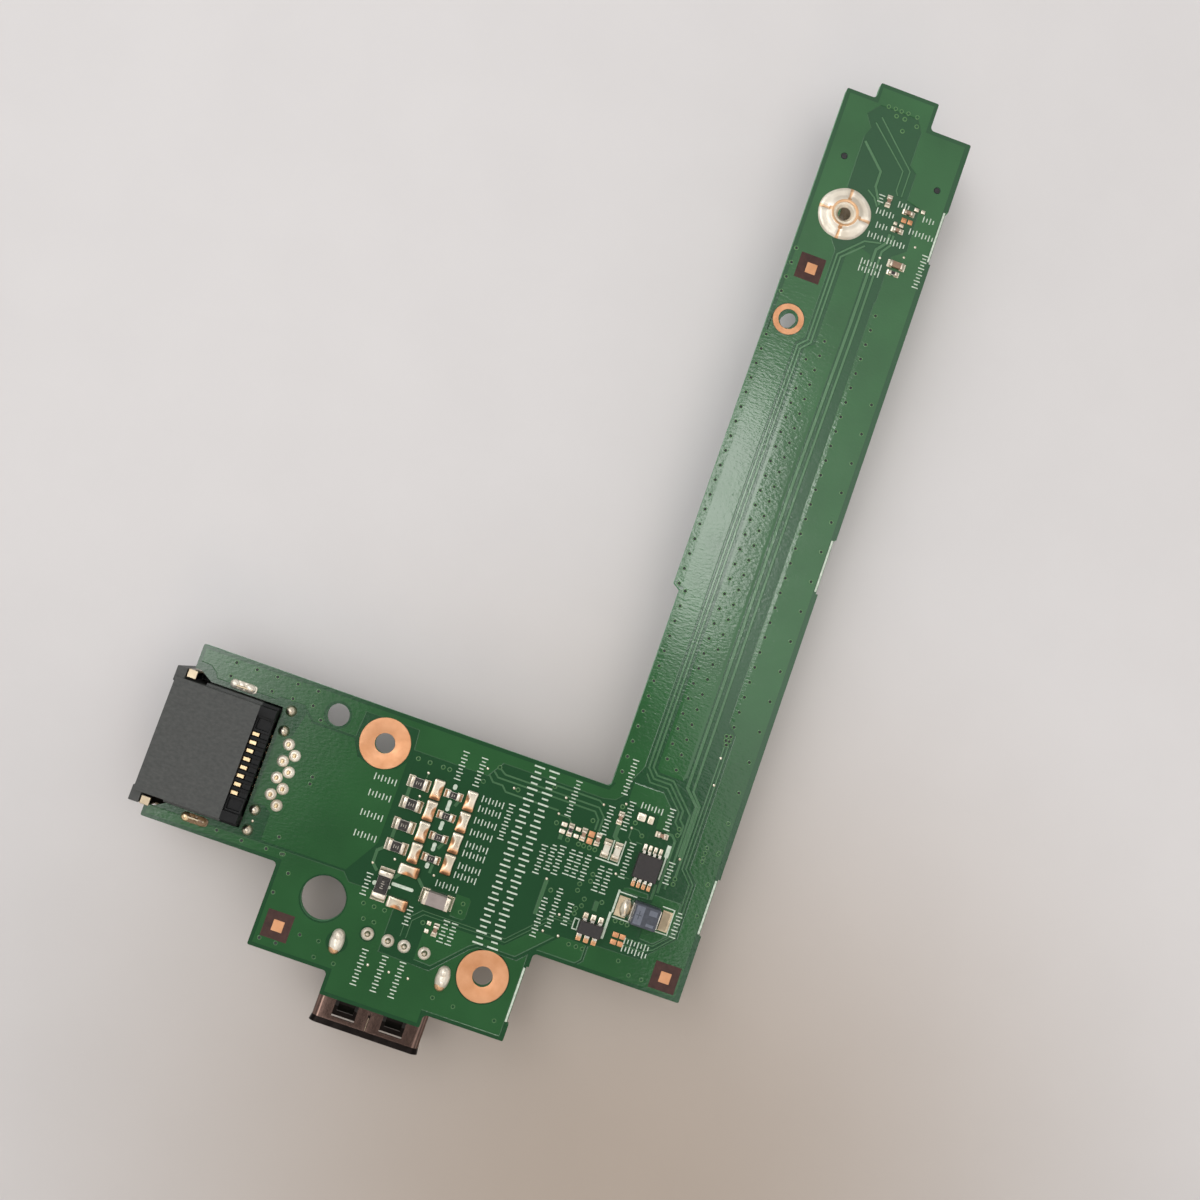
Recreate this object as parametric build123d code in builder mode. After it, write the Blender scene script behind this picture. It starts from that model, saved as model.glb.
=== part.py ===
"""Side board of a laptop: an L-shaped circuit board with a network jack and a USB socket under it.

Millimetres. Places on the board are measured from its lower right corner, x along the foot (leftwards is
negative) and y up the arm. The component face is z = 0, and the sockets hang below the board. The origin of
the part is the centre of the screw hole beside the USB socket, on the component face.
"""

import os
from math import radians, tan

from build123d import *

# Board
board_thickness = 1.2
arm_length = 110.8
arm_width = 16.9
arm_lower_width = 16.0
arm_step_y = 46.9
arm_step_drop = 0.6
shoulder_rise = 1.4
tab_rise = 3.5
tab_right = 5.45
tab_width = 7.65
foot_length = 66.7
foot_height = 21.4
foot_lower_edge = 0.3
bay_right = 18.15
bay_right_drop = 10.75
bay_left = 50.0
bay_left_drop = 9.65
nose_right = 27.9
nose_width = 12.3
nose_drop = 12.35
router_radius = 0.5
corner_radius = 0.2

# Break-off tabs leave shallow notches in the routed edge
notch_depth = 0.25
notch_length = 7.0
edge_notches_y = (11.7, 54.9)
notch_below_tip = 12.6
bay_notch_drop = 5.2

# Fixing holes
datum_hole = (-22.9, -4.45)
foot_hole_behind_jack = 12.8
foot_hole_y = 17.4
screw_radius = 1.2
post_hole = (-43.5, -1.9)
post_radius = 2.65
pin_hole_behind_jack = 6.5
pin_hole_y = 18.7
pin_radius = 1.35
slot_inset = 2.55
slot_y = 82.1
slot_length = 2.4
slot_width = 1.6
slot_turn = 62

# Threaded standoff under the arm's tip
standoff_below_tip = 13.85
standoff_inset = 4.75
standoff_height = 5.5
standoff_flats = 4.3
flange_radius = 2.6
flange_thickness = 1.0
shank_radius = 1.6
shank_proud = 0.35
thread_radius = 0.8
thread_chamfer = 0.3
solder_radius = 3.3
solder_height = 0.3
spoke_width = 0.4

# Board connector under the arm's tip
link_below_tip = 5.6
link_offset = 0.1
link_length = 14.2
link_width = 4.8
link_height = 4.0
link_wall = 0.8
link_floor = 0.9
link_contact_count = 12
link_pitch = 0.8
link_contact_width = 0.3
link_contact_thickness = 0.2
link_slot = 0.4
link_clearance = 0.05
link_toe = 0.6
link_blade_recess = 0.8
peg_spacing = 12.3
peg_radius = 0.35
peg_offset = -1.35
peg_clearance = 0.05

# Network jack, mouth to the left
jack_y = 10.0
jack_overhang = 1.4
jack_length = 12.4
jack_rise = 2.0
jack_drop = 8.5
jack_top_width = 14.5
jack_shoulder = 0.7
jack_ledge = 0.35
jack_ledge_drop = 0.9
bezel_flange = 0.9
bezel_length = 3.5
bezel_proud = 0.2
bezel_lip = 0.3
bezel_taper = 1.5
lip_margin = 0.45
ear_drop = 0.2
mouth_chamfer = 0.35
port_width = 11.8
port_height = 6.9
port_depth = 11.2
port_roof = 1.1
latch_width = 6.2
latch_height = 2.0
latch_guide_width = 3.2
latch_guide_height = 0.7
board_clearance = 0.2
contact_count = 8
contact_pitch = 1.02
contact_width = 0.45
contact_thickness = 0.28
contact_run_depth = 1.0
contact_run_inset = 0.35
contact_landing = 0.2
contact_crest = 0.57
contact_crest_drop = 0.05
contact_knee = 1.5
contact_turn = 3.2
contact_turn_drop = 0.75
contact_end_gap = 0.9
contact_dip = 2.1
comb_length = 2.0
comb_drop = 0.45
comb_margin = 0.25
comb_slot = 0.62
comb_depth = 4.6
comb_window = 1.0
comb_bridge = 0.75
comb_groove = 0.3
end_contact_offset = 4.85
end_contact_width = 0.9
end_contact_inset = 0.5
end_contact_drop = 0.2
end_pocket = 1.3
end_pocket_depth = 0.35
end_pocket_wall = 0.2
tail_rows = (2.3, 3.4)
tail_hole_radius = 0.5
tail_proud = 0.7
carrier_length = 4.2
carrier_inset = 0.95
carrier_drop = 6.4
carrier_groove = 0.6
shield_thickness = 0.25
shield_height = 6.0
shield_tab_x = 7.45
shield_tab_length = 2.4
shield_tab_rise = 0.5
shield_leg_x = 13.6
shield_leg_inset = 0.75
shield_leg_width = 0.6
shield_hook_x = 1.1
shield_hook_length = 1.1
shield_hook_reach = 1.0
hook_pocket_length = 2.5

# USB socket, mouth towards the nose
usb_x = -33.75
usb_overhang = 3.45
usb_length = 13.3
usb_width = 13.1
usb_height = 5.8
usb_corner = 0.8
usb_wall = 0.3
usb_lip_length = 0.7
usb_lip_angle = 12
usb_seam_width = 0.1
usb_seam_depth = 0.12
usb_window_width = 2.8
usb_window_length = 5.4
usb_window_inset = 1.2
usb_window_spacing = 5.86
usb_spring_width = 2.0
usb_spring_root = 0.6
usb_spring_bend = 1.4
usb_spring_end = 0.7
usb_spring_dip = 0.9
usb_near_spring_share = 0.35
usb_tab_y = 9.7
usb_tab_length = 2.2
usb_tab_rise = 0.4
usb_pin_y = 11.7
usb_pins = (-3.5, -1.0, 1.0, 3.5)
usb_pin_radius = 0.48
usb_pin_proud = 0.7
usb_pin_gap = 1.0
usb_contact_width = 0.9
usb_contact_thickness = 0.22
usb_contact_inset = 0.6
tongue_width = 11.1
tongue_thickness = 1.85
tongue_gap = 0.7
tongue_inset = 1.8
insulator_length = 3.4
hole_clearance = 0.1

# Solder
joint_radius = 0.7
joint_sides = 12
joint_height = 0.55
joint_overlap = 0.3
joint_slope = 25
tab_joint_slope = 20
tab_joint_width = 1.65
spare_lump_length = 2.4
spare_lump_width = 1.4
spare_lump_height = 0.45
spare_lump_slope = 12

# Chip cases: length, width, height and length of each metal end
case_0402 = (1.0, 0.5, 0.35, 0.25)
case_0603 = (1.6, 0.8, 0.45, 0.32)
case_0805 = (2.0, 1.25, 0.5, 0.4)
case_1206 = (3.2, 1.6, 0.6, 0.5)
case_1206_tall = (3.2, 1.6, 1.5, 0.5)
end_proud = 0.03

# Line chips: four rows of a resistor, a link and the two spare lands of a capacitor
row_y = 14.3
row_pitch = 2.6
row_count = 4
line_resistor_x = -37.55
left_spare_x = -35.25
link_resistor_x = -33.25
right_spare_x = -31.15

# Single chips: case, x, y and whether it stands along y. Those at the tip are placed from the arm's end.
foot_chips = {
    "shunt_resistor": (case_1206, -37.55, 1.85, True),
    "surge_capacitor": (case_1206_tall, -31.0, 2.25, False),
    "fuse_1": (case_0603, -14.1, 14.35, True),
    "fuse_2": (case_0603, -12.78, 14.35, True),
    "strap_resistor": (case_0402, -18.85, 15.0, True),
    "line_capacitor_1": (case_0402, -17.2, 15.0, True),
    "line_capacitor_2": (case_0402, -15.4, 15.0, True),
    "supply_capacitor_1": (case_0402, -13.7, 18.25, True),
    "supply_capacitor_2": (case_0402, -8.35, 17.9, False),
    "usb_capacitor": (case_0402, -29.95, -1.15, True),
}
tip_chips = {
    "tip_capacitor_1": (case_0402, -7.45, 10.4, True),
    "tip_capacitor_2": (case_0402, -4.65, 10.95, False),
    "tip_capacitor_3": (case_0402, -5.3, 13.5, False),
    "tip_capacitor_4": (case_0603, -4.0, 17.7, False),
    "tip_resistor": (case_0402, -4.1, 18.8, False),
}
cross_spares = ((-35.2, 4.35), (-35.2, 0.3))

# Packages with leads
power_chip_place = (-8.8, 13.8)
power_chip_size = (3.0, 3.0, 0.95)
power_chip_pitch = 0.65
power_lead_count = 4
power_chip_span = 4.9
power_lead_width = 0.32
guard_chip_place = (-12.85, 4.85)
guard_chip_size = (2.9, 1.6, 1.1)
guard_chip_pitch = 0.95
guard_lead_count = 3
guard_chip_span = 2.8
guard_lead_width = 0.42
lead_thickness = 0.15
lead_shoulder_share = 0.18
lead_foot_share = 0.3
package_lift = 0.1
package_draft = 6
tank_place = (-7.25, 8.45)
tank_size = (3.5, 2.8, 1.9)
tank_lift = 0.1
tank_terminal_width = 2.2
tank_terminal_thickness = 0.15
tank_terminal_foot = 0.8

overshoot = 1.0
far_face = -board_thickness
jack_width = jack_top_width + 2 * jack_shoulder
carrier_width = jack_top_width - 2 * carrier_inset
bezel_width = jack_top_width + 2 * bezel_flange
jack_front = -(foot_length + jack_overhang)
jack_back = jack_front + jack_length
foot_hole = (jack_back + foot_hole_behind_jack, foot_hole_y)
pin_hole = (jack_back + pin_hole_behind_jack, pin_hole_y)
slot_place = (slot_inset - arm_width, slot_y)
jack_floor = far_face - jack_drop
port_top = jack_rise - port_roof
port_floor = port_top - port_height
comb_x = jack_back - comb_length
comb_top = jack_rise - comb_drop
usb_front = -(nose_drop + usb_overhang)
usb_back = usb_front + usb_length
usb_floor = far_face - usb_height
usb_tab_x = (usb_width - usb_wall) / 2
tongue_bottom = usb_floor + usb_wall + tongue_gap
tongue_top = tongue_bottom + tongue_thickness
standoff_x = standoff_inset - arm_width
standoff_y = arm_length - standoff_below_tip
link_x = link_offset - arm_width / 2
link_y = arm_length - link_below_tip
row_places = [row_y - row * row_pitch for row in range(row_count)]
contact_places = [jack_y + (contact_count / 2 - 0.5 - i) * contact_pitch for i in range(contact_count)]
end_places = [jack_y + side * end_contact_offset for side in (1, -1)]


def level(z):
    """Drawing plane at height z, with its own origin above the board's lower right corner."""
    return Plane(origin=(-datum_hole[0], -datum_hole[1], z))


def side_view(y):
    """Upright plane across the board at y, drawn in x and z."""
    return Plane(origin=(-datum_hole[0], y - datum_hole[1], 0), x_dir=(1, 0, 0), z_dir=(0, -1, 0))


def end_view(x):
    """Upright plane along the board at x, drawn in y and z."""
    return Plane(origin=(x - datum_hole[0], -datum_hole[1], 0), x_dir=(0, 1, 0), z_dir=(1, 0, 0))


def save(piece, name):
    """Label a finished piece and write it as one STEP file."""
    piece.part.label = name
    export_step(piece.part, f"parts/{name}.step")


def block(x_range, y_range, z_range, mode=Mode.ADD):
    """Upright block between two places on each axis."""
    with BuildSketch(level(z_range[0])) as footprint:
        with Locations(((x_range[0] + x_range[1]) / 2, (y_range[0] + y_range[1]) / 2)):
            Rectangle(abs(x_range[1] - x_range[0]), abs(y_range[1] - y_range[0]))
    extrude(footprint.sketch, amount=z_range[1] - z_range[0], mode=mode)


def ribbon(points, plane, width, thickness):
    """Metal strip that follows points drawn on an upright plane."""
    with BuildSketch(plane) as profile:
        with BuildLine():
            Polyline(*points)
        trace(line_width=thickness)
    extrude(profile.sketch, amount=width / 2, both=True)


def board_outline():
    """Routed edge of the board, each corner with its radius: cutter radius inside, near sharp outside."""
    inner, outer = router_radius, corner_radius
    tab_left = tab_right + tab_width
    nose_left = nose_right + nose_width
    left_shoulder = arm_length + shoulder_rise
    corners = [
        (0, 0, outer),
        (0, arm_length, outer),
        (-tab_right, arm_length, inner),
        (-tab_right, arm_length + tab_rise, outer),
        (-tab_left, arm_length + tab_rise, outer),
        (-tab_left, left_shoulder, inner),
        (-arm_width, left_shoulder, outer),
        (-arm_width, arm_step_y, outer),
        (-arm_lower_width, arm_step_y - arm_step_drop, outer),
        (-arm_lower_width, foot_height, inner),
        (-foot_length, foot_height, outer),
        (-foot_length, foot_lower_edge, outer),
        (-bay_left, foot_lower_edge, inner),
        (-bay_left, -bay_left_drop, outer),
        (-nose_left, -bay_left_drop, inner),
        (-nose_left, -nose_drop, outer),
        (-nose_right, -nose_drop, outer),
        (-nose_right, -bay_right_drop, inner),
        (-bay_right, -bay_right_drop, outer),
        (-bay_right, 0, inner),
    ]
    FilletPolyline(*[(x, y) for x, y, _ in corners], radius=[r for _, _, r in corners], close=True)


def board_holes():
    """Fixing holes, the slot, and the holes that the soldered and pegged pieces pass through."""
    with Locations(datum_hole, foot_hole):
        Circle(screw_radius, mode=Mode.SUBTRACT)
    with Locations(post_hole):
        Circle(post_radius, mode=Mode.SUBTRACT)
    with Locations(pin_hole):
        Circle(pin_radius, mode=Mode.SUBTRACT)
    with Locations(Location((*slot_place, 0), slot_turn)):
        SlotOverall(slot_length, slot_width, mode=Mode.SUBTRACT)
    with Locations((standoff_x, standoff_y)):
        Circle(shank_radius + hole_clearance, mode=Mode.SUBTRACT)
    with Locations((link_x, link_y + peg_offset)):
        with GridLocations(peg_spacing, 0, 2, 1):
            Circle(peg_radius + peg_clearance, mode=Mode.SUBTRACT)
    tails = [(jack_back + tail_rows[i % 2], y) for i, y in enumerate(contact_places)]
    ends = [(jack_front + shield_leg_x, y) for y in end_places]
    legs = [(jack_front + shield_leg_x, shield_leg_y(side)) for side in (1, -1)]
    with Locations(*tails, *ends, *legs):
        Circle(tail_hole_radius, mode=Mode.SUBTRACT)
    with Locations(*[(jack_front + shield_tab_x, shield_y(side)) for side in (1, -1)]):
        Rectangle(
            shield_tab_length + 2 * hole_clearance,
            shield_thickness + 2 * hole_clearance,
            mode=Mode.SUBTRACT,
        )
    with Locations(*[(usb_x + x, usb_front + usb_pin_y) for x in usb_pins]):
        Circle(usb_pin_radius, mode=Mode.SUBTRACT)
    with Locations(*[(usb_x + side * usb_tab_x, usb_front + usb_tab_y) for side in (1, -1)]):
        Rectangle(usb_wall + 2 * hole_clearance, usb_tab_length + 2 * hole_clearance, mode=Mode.SUBTRACT)


def shield_y(side):
    """Middle of a jack shield's plate, on one side of the jack."""
    return jack_y + side * (jack_width + shield_thickness) / 2


def shield_leg_y(side):
    """Middle of the leg that a jack shield turns in behind the housing."""
    return shield_y(side) - side * shield_leg_inset


def make_board():
    with BuildPart() as board:
        with BuildSketch(level(far_face)):
            with BuildLine():
                board_outline()
            make_face()
            jack_gap = jack_top_width + 2 * board_clearance
            bezel_gap = bezel_width + 2 * board_clearance
            with BuildSketch(mode=Mode.SUBTRACT) as jack_cutout:
                with Locations((jack_back + board_clearance, jack_y)):
                    Rectangle(2 * foot_length, jack_gap, align=(Align.MAX, Align.CENTER))
                bezel_end = jack_front + bezel_length + board_clearance
                with Locations((0, jack_y)):
                    Polygon(
                        (-2 * foot_length, -bezel_gap / 2),
                        (bezel_end - bezel_taper, -bezel_gap / 2),
                        (bezel_end, -jack_gap / 2),
                        (bezel_end, jack_gap / 2),
                        (bezel_end - bezel_taper, bezel_gap / 2),
                        (-2 * foot_length, bezel_gap / 2),
                        align=None,
                    )
                inside = jack_cutout.vertices().filter_by(lambda v: v.X > bezel_end)
                fillet(inside, board_clearance)
            board_holes()
            for y in (*edge_notches_y, arm_length - notch_below_tip):
                with Locations((0, y)):
                    Rectangle(2 * notch_depth, notch_length, mode=Mode.SUBTRACT)
            with Locations((-bay_right, -bay_notch_drop)):
                Rectangle(2 * notch_depth, notch_length, mode=Mode.SUBTRACT)
        extrude(amount=board_thickness)
    save(board, "board")


def make_jack_housing():
    """Moulded body: a bezel, a shoulder that stands up through the board and a latched port."""
    half = jack_width / 2
    with BuildPart() as housing:
        block((jack_front, jack_back), (jack_y - half, jack_y + half), (jack_floor, far_face))
        half = jack_top_width / 2
        ledge_z = jack_rise - jack_ledge_drop
        block((jack_front, jack_back), (jack_y - half, jack_y + half), (far_face, ledge_z))
        half -= jack_ledge
        block((jack_front, jack_back), (jack_y - half, jack_y + half), (ledge_z, jack_rise))
        front = jack_front - bezel_proud
        for side in (1, -1):
            outer = jack_y + side * bezel_width / 2
            for back, root in (
                (jack_front + bezel_length, jack_top_width / 2 - jack_ledge),
                (jack_front + bezel_lip, port_width / 2 + lip_margin),
            ):
                block((front, back), (jack_y + side * root, outer), (jack_floor, jack_rise - ear_drop))
        cut_port()
        cut_comb()
        cut_hook_pockets()
    save(housing, "jack_housing")


def cut_port():
    """Socket for the plug, with the stepped slot of its latch under it and a slope round its mouth."""
    with BuildSketch(end_view(jack_front - bezel_proud)) as port:
        with Locations((jack_y, port_floor)):
            Rectangle(port_width, port_height, align=(Align.CENTER, Align.MIN))
            Rectangle(latch_width, latch_height, align=(Align.CENTER, Align.MAX))
            latch = latch_height + latch_guide_height
            Rectangle(latch_guide_width, latch, align=(Align.CENTER, Align.MAX))
    extrude(port.sketch, amount=port_depth + bezel_proud, mode=Mode.SUBTRACT)
    with BuildSketch(end_view(jack_front)) as mouth:
        with Locations((jack_y, port_floor + port_height / 2)):
            Rectangle(port_width + 2 * mouth_chamfer, port_height + 2 * mouth_chamfer)
    extrude(mouth.sketch, amount=mouth_chamfer, taper=45, mode=Mode.SUBTRACT)


def cut_comb():
    """Comb in a step at the back of the roof. Over each contact it has a window, and behind that a bridge."""
    foot = jack_rise - comb_depth
    half = end_contact_offset + end_pocket / 2 + comb_margin
    block((comb_x, jack_back), (jack_y - half, jack_y + half), (comb_top, jack_rise), Mode.SUBTRACT)
    for y in contact_places:
        slot = (y - comb_slot / 2, y + comb_slot / 2)
        block((comb_x, comb_x + comb_window), slot, (foot, comb_top), Mode.SUBTRACT)
        block((comb_x, jack_back), slot, (foot, comb_top - comb_bridge), Mode.SUBTRACT)
        block((comb_x, jack_back), slot, (comb_top - comb_groove, comb_top), Mode.SUBTRACT)
    pocket_x = (comb_x + end_pocket_wall, jack_back - end_pocket_wall)
    for y in end_places:
        pocket = (y - end_pocket / 2, y + end_pocket / 2)
        block((comb_x, jack_back), pocket, (foot, port_top), Mode.SUBTRACT)
        block(pocket_x, pocket, (comb_top - end_pocket_depth, comb_top), Mode.SUBTRACT)


def cut_hook_pockets():
    """Open pocket in each ear of the bezel, where the hook of the shield shows."""
    pocket_x = jack_front + shield_hook_x - hole_clearance
    inner = jack_top_width / 2 - jack_ledge
    for side in (1, -1):
        block(
            (pocket_x, pocket_x + hook_pocket_length),
            (jack_y + side * inner, jack_y + side * bezel_width),
            (far_face - shield_height - hole_clearance, jack_rise),
            Mode.SUBTRACT,
        )


def make_jack_carrier():
    """Block behind the housing that holds the contacts in grooves under the board."""
    back = jack_back + carrier_length
    top = far_face - board_clearance
    with BuildPart() as carrier:
        half = carrier_width / 2
        block((jack_back, back), (jack_y - half, jack_y + half), (top - carrier_drop, top))
        depth = (contact_run_z() - contact_thickness / 2, top)
        groove_end = jack_back + tail_rows[1] + contact_thickness
        for y in contact_places:
            groove = (y - carrier_groove / 2, y + carrier_groove / 2)
            block((jack_back, groove_end), groove, depth, Mode.SUBTRACT)
        for y in end_places:
            groove = (y - end_pocket / 2, y + end_pocket / 2)
            block((jack_back, groove_end), groove, depth, Mode.SUBTRACT)
    save(carrier, "jack_carrier")


def contact_run_z():
    """Height of the contacts' level run through the carrier."""
    return far_face - board_clearance - contact_run_depth


def make_jack_contacts():
    """Eight spring contacts: tail, run under the bridge, crest in the comb's window, and back into the port."""
    run = contact_run_z()
    roof = port_top - contact_thickness
    crest = comb_top - contact_crest_drop - contact_thickness / 2
    drop_x = comb_x + contact_landing
    rise_x = drop_x + contact_crest
    turn_x = jack_front + contact_turn
    with BuildPart() as contacts:
        for i, y in enumerate(contact_places):
            tail = jack_back + tail_rows[i % 2]
            path = [
                (tail, tail_proud),
                (tail, run),
                (jack_back - contact_run_inset, run),
                (rise_x, run + contact_knee),
                (rise_x, crest),
                (drop_x, crest),
                (drop_x, roof),
                (turn_x, roof),
                (turn_x + contact_thickness, roof - contact_turn_drop),
                (comb_x - contact_end_gap, roof - contact_dip),
            ]
            ribbon(path, side_view(y), contact_width, contact_thickness)
    save(contacts, "jack_contacts")


def make_jack_end_contacts():
    """Detector contact at each end of the comb, short and wide."""
    run = contact_run_z()
    pin = jack_front + shield_leg_x
    top = port_top - end_contact_drop
    with BuildPart() as contacts:
        for y in end_places:
            path = [
                (pin, tail_proud),
                (pin, run),
                (jack_back - end_contact_inset, run),
                (jack_back - end_contact_inset, top),
                (jack_back - comb_length + contact_thickness, top),
            ]
            ribbon(path, side_view(y), end_contact_width, contact_thickness)
            trim_pin(pin, y)
    save(contacts, "jack_end_contacts")


def trim_pin(x, y):
    """Narrow the upper end of an end contact to the width of a pin, so that it clears its hole."""
    for side in (1, -1):
        edge = y + side * contact_width / 2
        block(
            (x - contact_thickness, x + contact_thickness),
            (edge, edge + side * end_contact_width),
            (far_face - board_clearance, tail_proud + overshoot),
            Mode.SUBTRACT,
        )


def make_jack_shield(name, side):
    """Stamped plate on one side of the jack, with a soldered tab, a leg behind and a hook in front."""
    outer = shield_y(side) + side * shield_thickness / 2
    inner = shield_y(side) - side * shield_thickness / 2
    hook = (jack_front + shield_hook_x, jack_front + shield_hook_x + shield_hook_length)
    tab = (jack_front + shield_tab_x - shield_tab_length / 2, jack_front + shield_tab_x + shield_tab_length / 2)
    leg_x = jack_front + shield_leg_x
    leg = (leg_x - shield_thickness / 2, leg_x + shield_thickness / 2)
    leg_y = shield_leg_y(side)
    top = far_face - board_clearance
    hook_top = jack_rise - 2 * board_clearance
    with BuildPart() as shield:
        block((hook[0], leg[1]), (inner, outer), (top - shield_height + board_clearance, top))
        block(tab, (inner, outer), (top, shield_tab_rise))
        block(hook, (inner, outer), (top, hook_top))
        block(hook, (outer, outer - side * shield_hook_reach), (hook_top - shield_thickness, hook_top))
        block(leg, (outer, leg_y - side * shield_leg_width / 2), (top - shield_height / 2, top))
        block(leg, (leg_y + side * shield_leg_width / 2, leg_y - side * shield_leg_width / 2), (top, tail_proud))
    save(shield, name)


def make_usb_shell():
    """Folded steel shell: closed back, two windows with springs above and below, two soldered tabs."""
    centre = (usb_x, (far_face + usb_floor) / 2)
    pin_gap = usb_front + usb_pin_y - usb_pin_gap
    with BuildPart() as shell:
        with BuildSketch(side_view(usb_front)):
            with Locations(centre):
                RectangleRounded(usb_width, usb_height, usb_corner)
        extrude(amount=-usb_length)
        with BuildSketch(side_view(usb_front)):
            with Locations(centre):
                inner = usb_corner - usb_wall
                RectangleRounded(usb_width - 2 * usb_wall, usb_height - 2 * usb_wall, inner)
        extrude(amount=-(usb_length - usb_wall), mode=Mode.SUBTRACT)
        add_mouth_lip(centre)
        seam = (far_face - usb_seam_depth, far_face)
        seam_x = (usb_x - usb_seam_width / 2, usb_x + usb_seam_width / 2)
        block(seam_x, (usb_front - usb_lip_length, pin_gap), seam, Mode.SUBTRACT)
        window = (usb_front + usb_window_inset, usb_front + usb_window_inset + usb_window_length)
        for side in (1, -1):
            x = usb_x + side * usb_window_spacing / 2
            span = (x - usb_window_width / 2, x + usb_window_width / 2)
            block(span, window, (usb_floor - overshoot, far_face + overshoot), Mode.SUBTRACT)
        half = usb_pins[-1] + usb_contact_width
        block((usb_x - half, usb_x + half), (pin_gap, usb_back - usb_wall), (tongue_top, far_face), Mode.SUBTRACT)
        for side in (1, -1):
            x = usb_x + side * usb_tab_x
            y = usb_front + usb_tab_y
            block(
                (x - usb_wall / 2, x + usb_wall / 2),
                (y - usb_tab_length / 2, y + usb_tab_length / 2),
                (far_face - usb_corner, usb_tab_rise),
            )
            x = usb_x + side * usb_window_spacing / 2
            for face, inward in ((far_face - usb_wall / 2, -1), (usb_floor + usb_wall / 2, 1)):
                spring = [
                    (window[1], face),
                    (window[1] - usb_spring_root, face),
                    (window[0] + usb_spring_bend, face + inward * usb_spring_dip * spring_share(inward)),
                    (window[0] + usb_spring_end, face + inward * usb_spring_dip * spring_share(inward) / 2),
                ]
                ribbon(spring, end_view(x), usb_spring_width, usb_wall)
    save(shell, "usb_shell")


def add_mouth_lip(centre):
    """Edge of the shell's mouth, opened outwards all round to guide the plug."""
    spread = usb_lip_length * tan(radians(usb_lip_angle))
    for width, height, corner, mode in (
        (usb_width, usb_height, usb_corner, Mode.ADD),
        (usb_width - 2 * usb_wall, usb_height - 2 * usb_wall, usb_corner - usb_wall, Mode.SUBTRACT),
    ):
        with BuildSketch(side_view(usb_front + usb_lip_length)) as root:
            with Locations(centre):
                RectangleRounded(width, height, corner)
        with BuildSketch(side_view(usb_front)) as mouth:
            with Locations(centre):
                RectangleRounded(width + 2 * spread, height + 2 * spread, corner + spread)
        loft([root.sketch.face(), mouth.sketch.face()], mode=mode)


def spring_share(inward):
    """The springs over the tongue's back dip less, because the tongue is close behind them."""
    return 1.0 if inward < 0 else usb_near_spring_share


def make_usb_insulator():
    """Moulded block at the back of the shell and the tongue that reaches to the mouth."""
    back = usb_back - usb_wall
    face = far_face - usb_wall
    half = usb_width / 2 - usb_wall
    run = tongue_top + usb_contact_thickness
    pin = usb_front + usb_pin_y
    with BuildPart() as insulator:
        with BuildSketch(side_view(back)):
            with Locations((usb_x, (face + usb_floor + usb_wall) / 2)):
                inner = usb_corner - usb_wall
                RectangleRounded(2 * half, usb_height - 2 * usb_wall, inner)
        extrude(amount=insulator_length)
        tongue = (usb_x - tongue_width / 2, usb_x + tongue_width / 2)
        block(tongue, (usb_front + tongue_inset, back - insulator_length), (tongue_bottom, tongue_top))
        for x in usb_pins:
            slot = (usb_x + x - usb_contact_width / 2, usb_x + x + usb_contact_width / 2)
            lower = tongue_top - usb_contact_thickness / 2
            block(slot, (usb_front + tongue_inset, pin + hole_clearance), (lower, run), Mode.SUBTRACT)
            block(slot, (pin - hole_clearance * 2, pin + hole_clearance * 2), (lower, face), Mode.SUBTRACT)
    save(insulator, "usb_insulator")


def make_usb_contacts():
    """Four flat contacts along the tongue, each turned up into a pin through the board."""
    run = tongue_top
    pin = usb_front + usb_pin_y
    tip = usb_front + tongue_inset + usb_contact_inset
    with BuildPart() as contacts:
        for x in usb_pins:
            path = [(tip, run), (pin, run), (pin, usb_pin_proud)]
            ribbon(path, end_view(usb_x + x), usb_contact_width, usb_contact_thickness)
            for side in (1, -1):
                edge = usb_x + x + side * usb_pin_radius / 2
                block(
                    (edge, edge + side * usb_contact_width),
                    (pin - usb_contact_thickness, pin + usb_contact_thickness),
                    (far_face - usb_wall, usb_pin_proud + overshoot),
                    Mode.SUBTRACT,
                )
    save(contacts, "usb_contacts")


def make_standoff():
    """Turned standoff: a shank soldered through the board, a round flange and a six-sided body."""
    with BuildPart() as standoff:
        with BuildSketch(level(far_face - standoff_height)):
            with Locations((standoff_x, standoff_y)):
                RegularPolygon(standoff_flats / 2, 6, major_radius=False)
        extrude(amount=standoff_height)
        with BuildSketch(level(far_face - flange_thickness)):
            with Locations((standoff_x, standoff_y)):
                Circle(flange_radius)
        extrude(amount=flange_thickness)
        with BuildSketch(level(far_face)):
            with Locations((standoff_x, standoff_y)):
                Circle(shank_radius)
        extrude(amount=board_thickness + shank_proud)
        with BuildSketch(level(far_face - standoff_height)):
            with Locations((standoff_x, standoff_y)):
                Circle(thread_radius)
        extrude(amount=standoff_height + board_thickness + shank_proud, mode=Mode.SUBTRACT)
        mouths = standoff.edges().filter_by(GeomType.CIRCLE).filter_by(lambda e: e.radius < thread_radius * 1.01)
        chamfer(mouths.sort_by(Axis.Z)[0], thread_chamfer)
        chamfer(mouths.sort_by(Axis.Z)[-1], thread_chamfer)
    save(standoff, "standoff")


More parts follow.
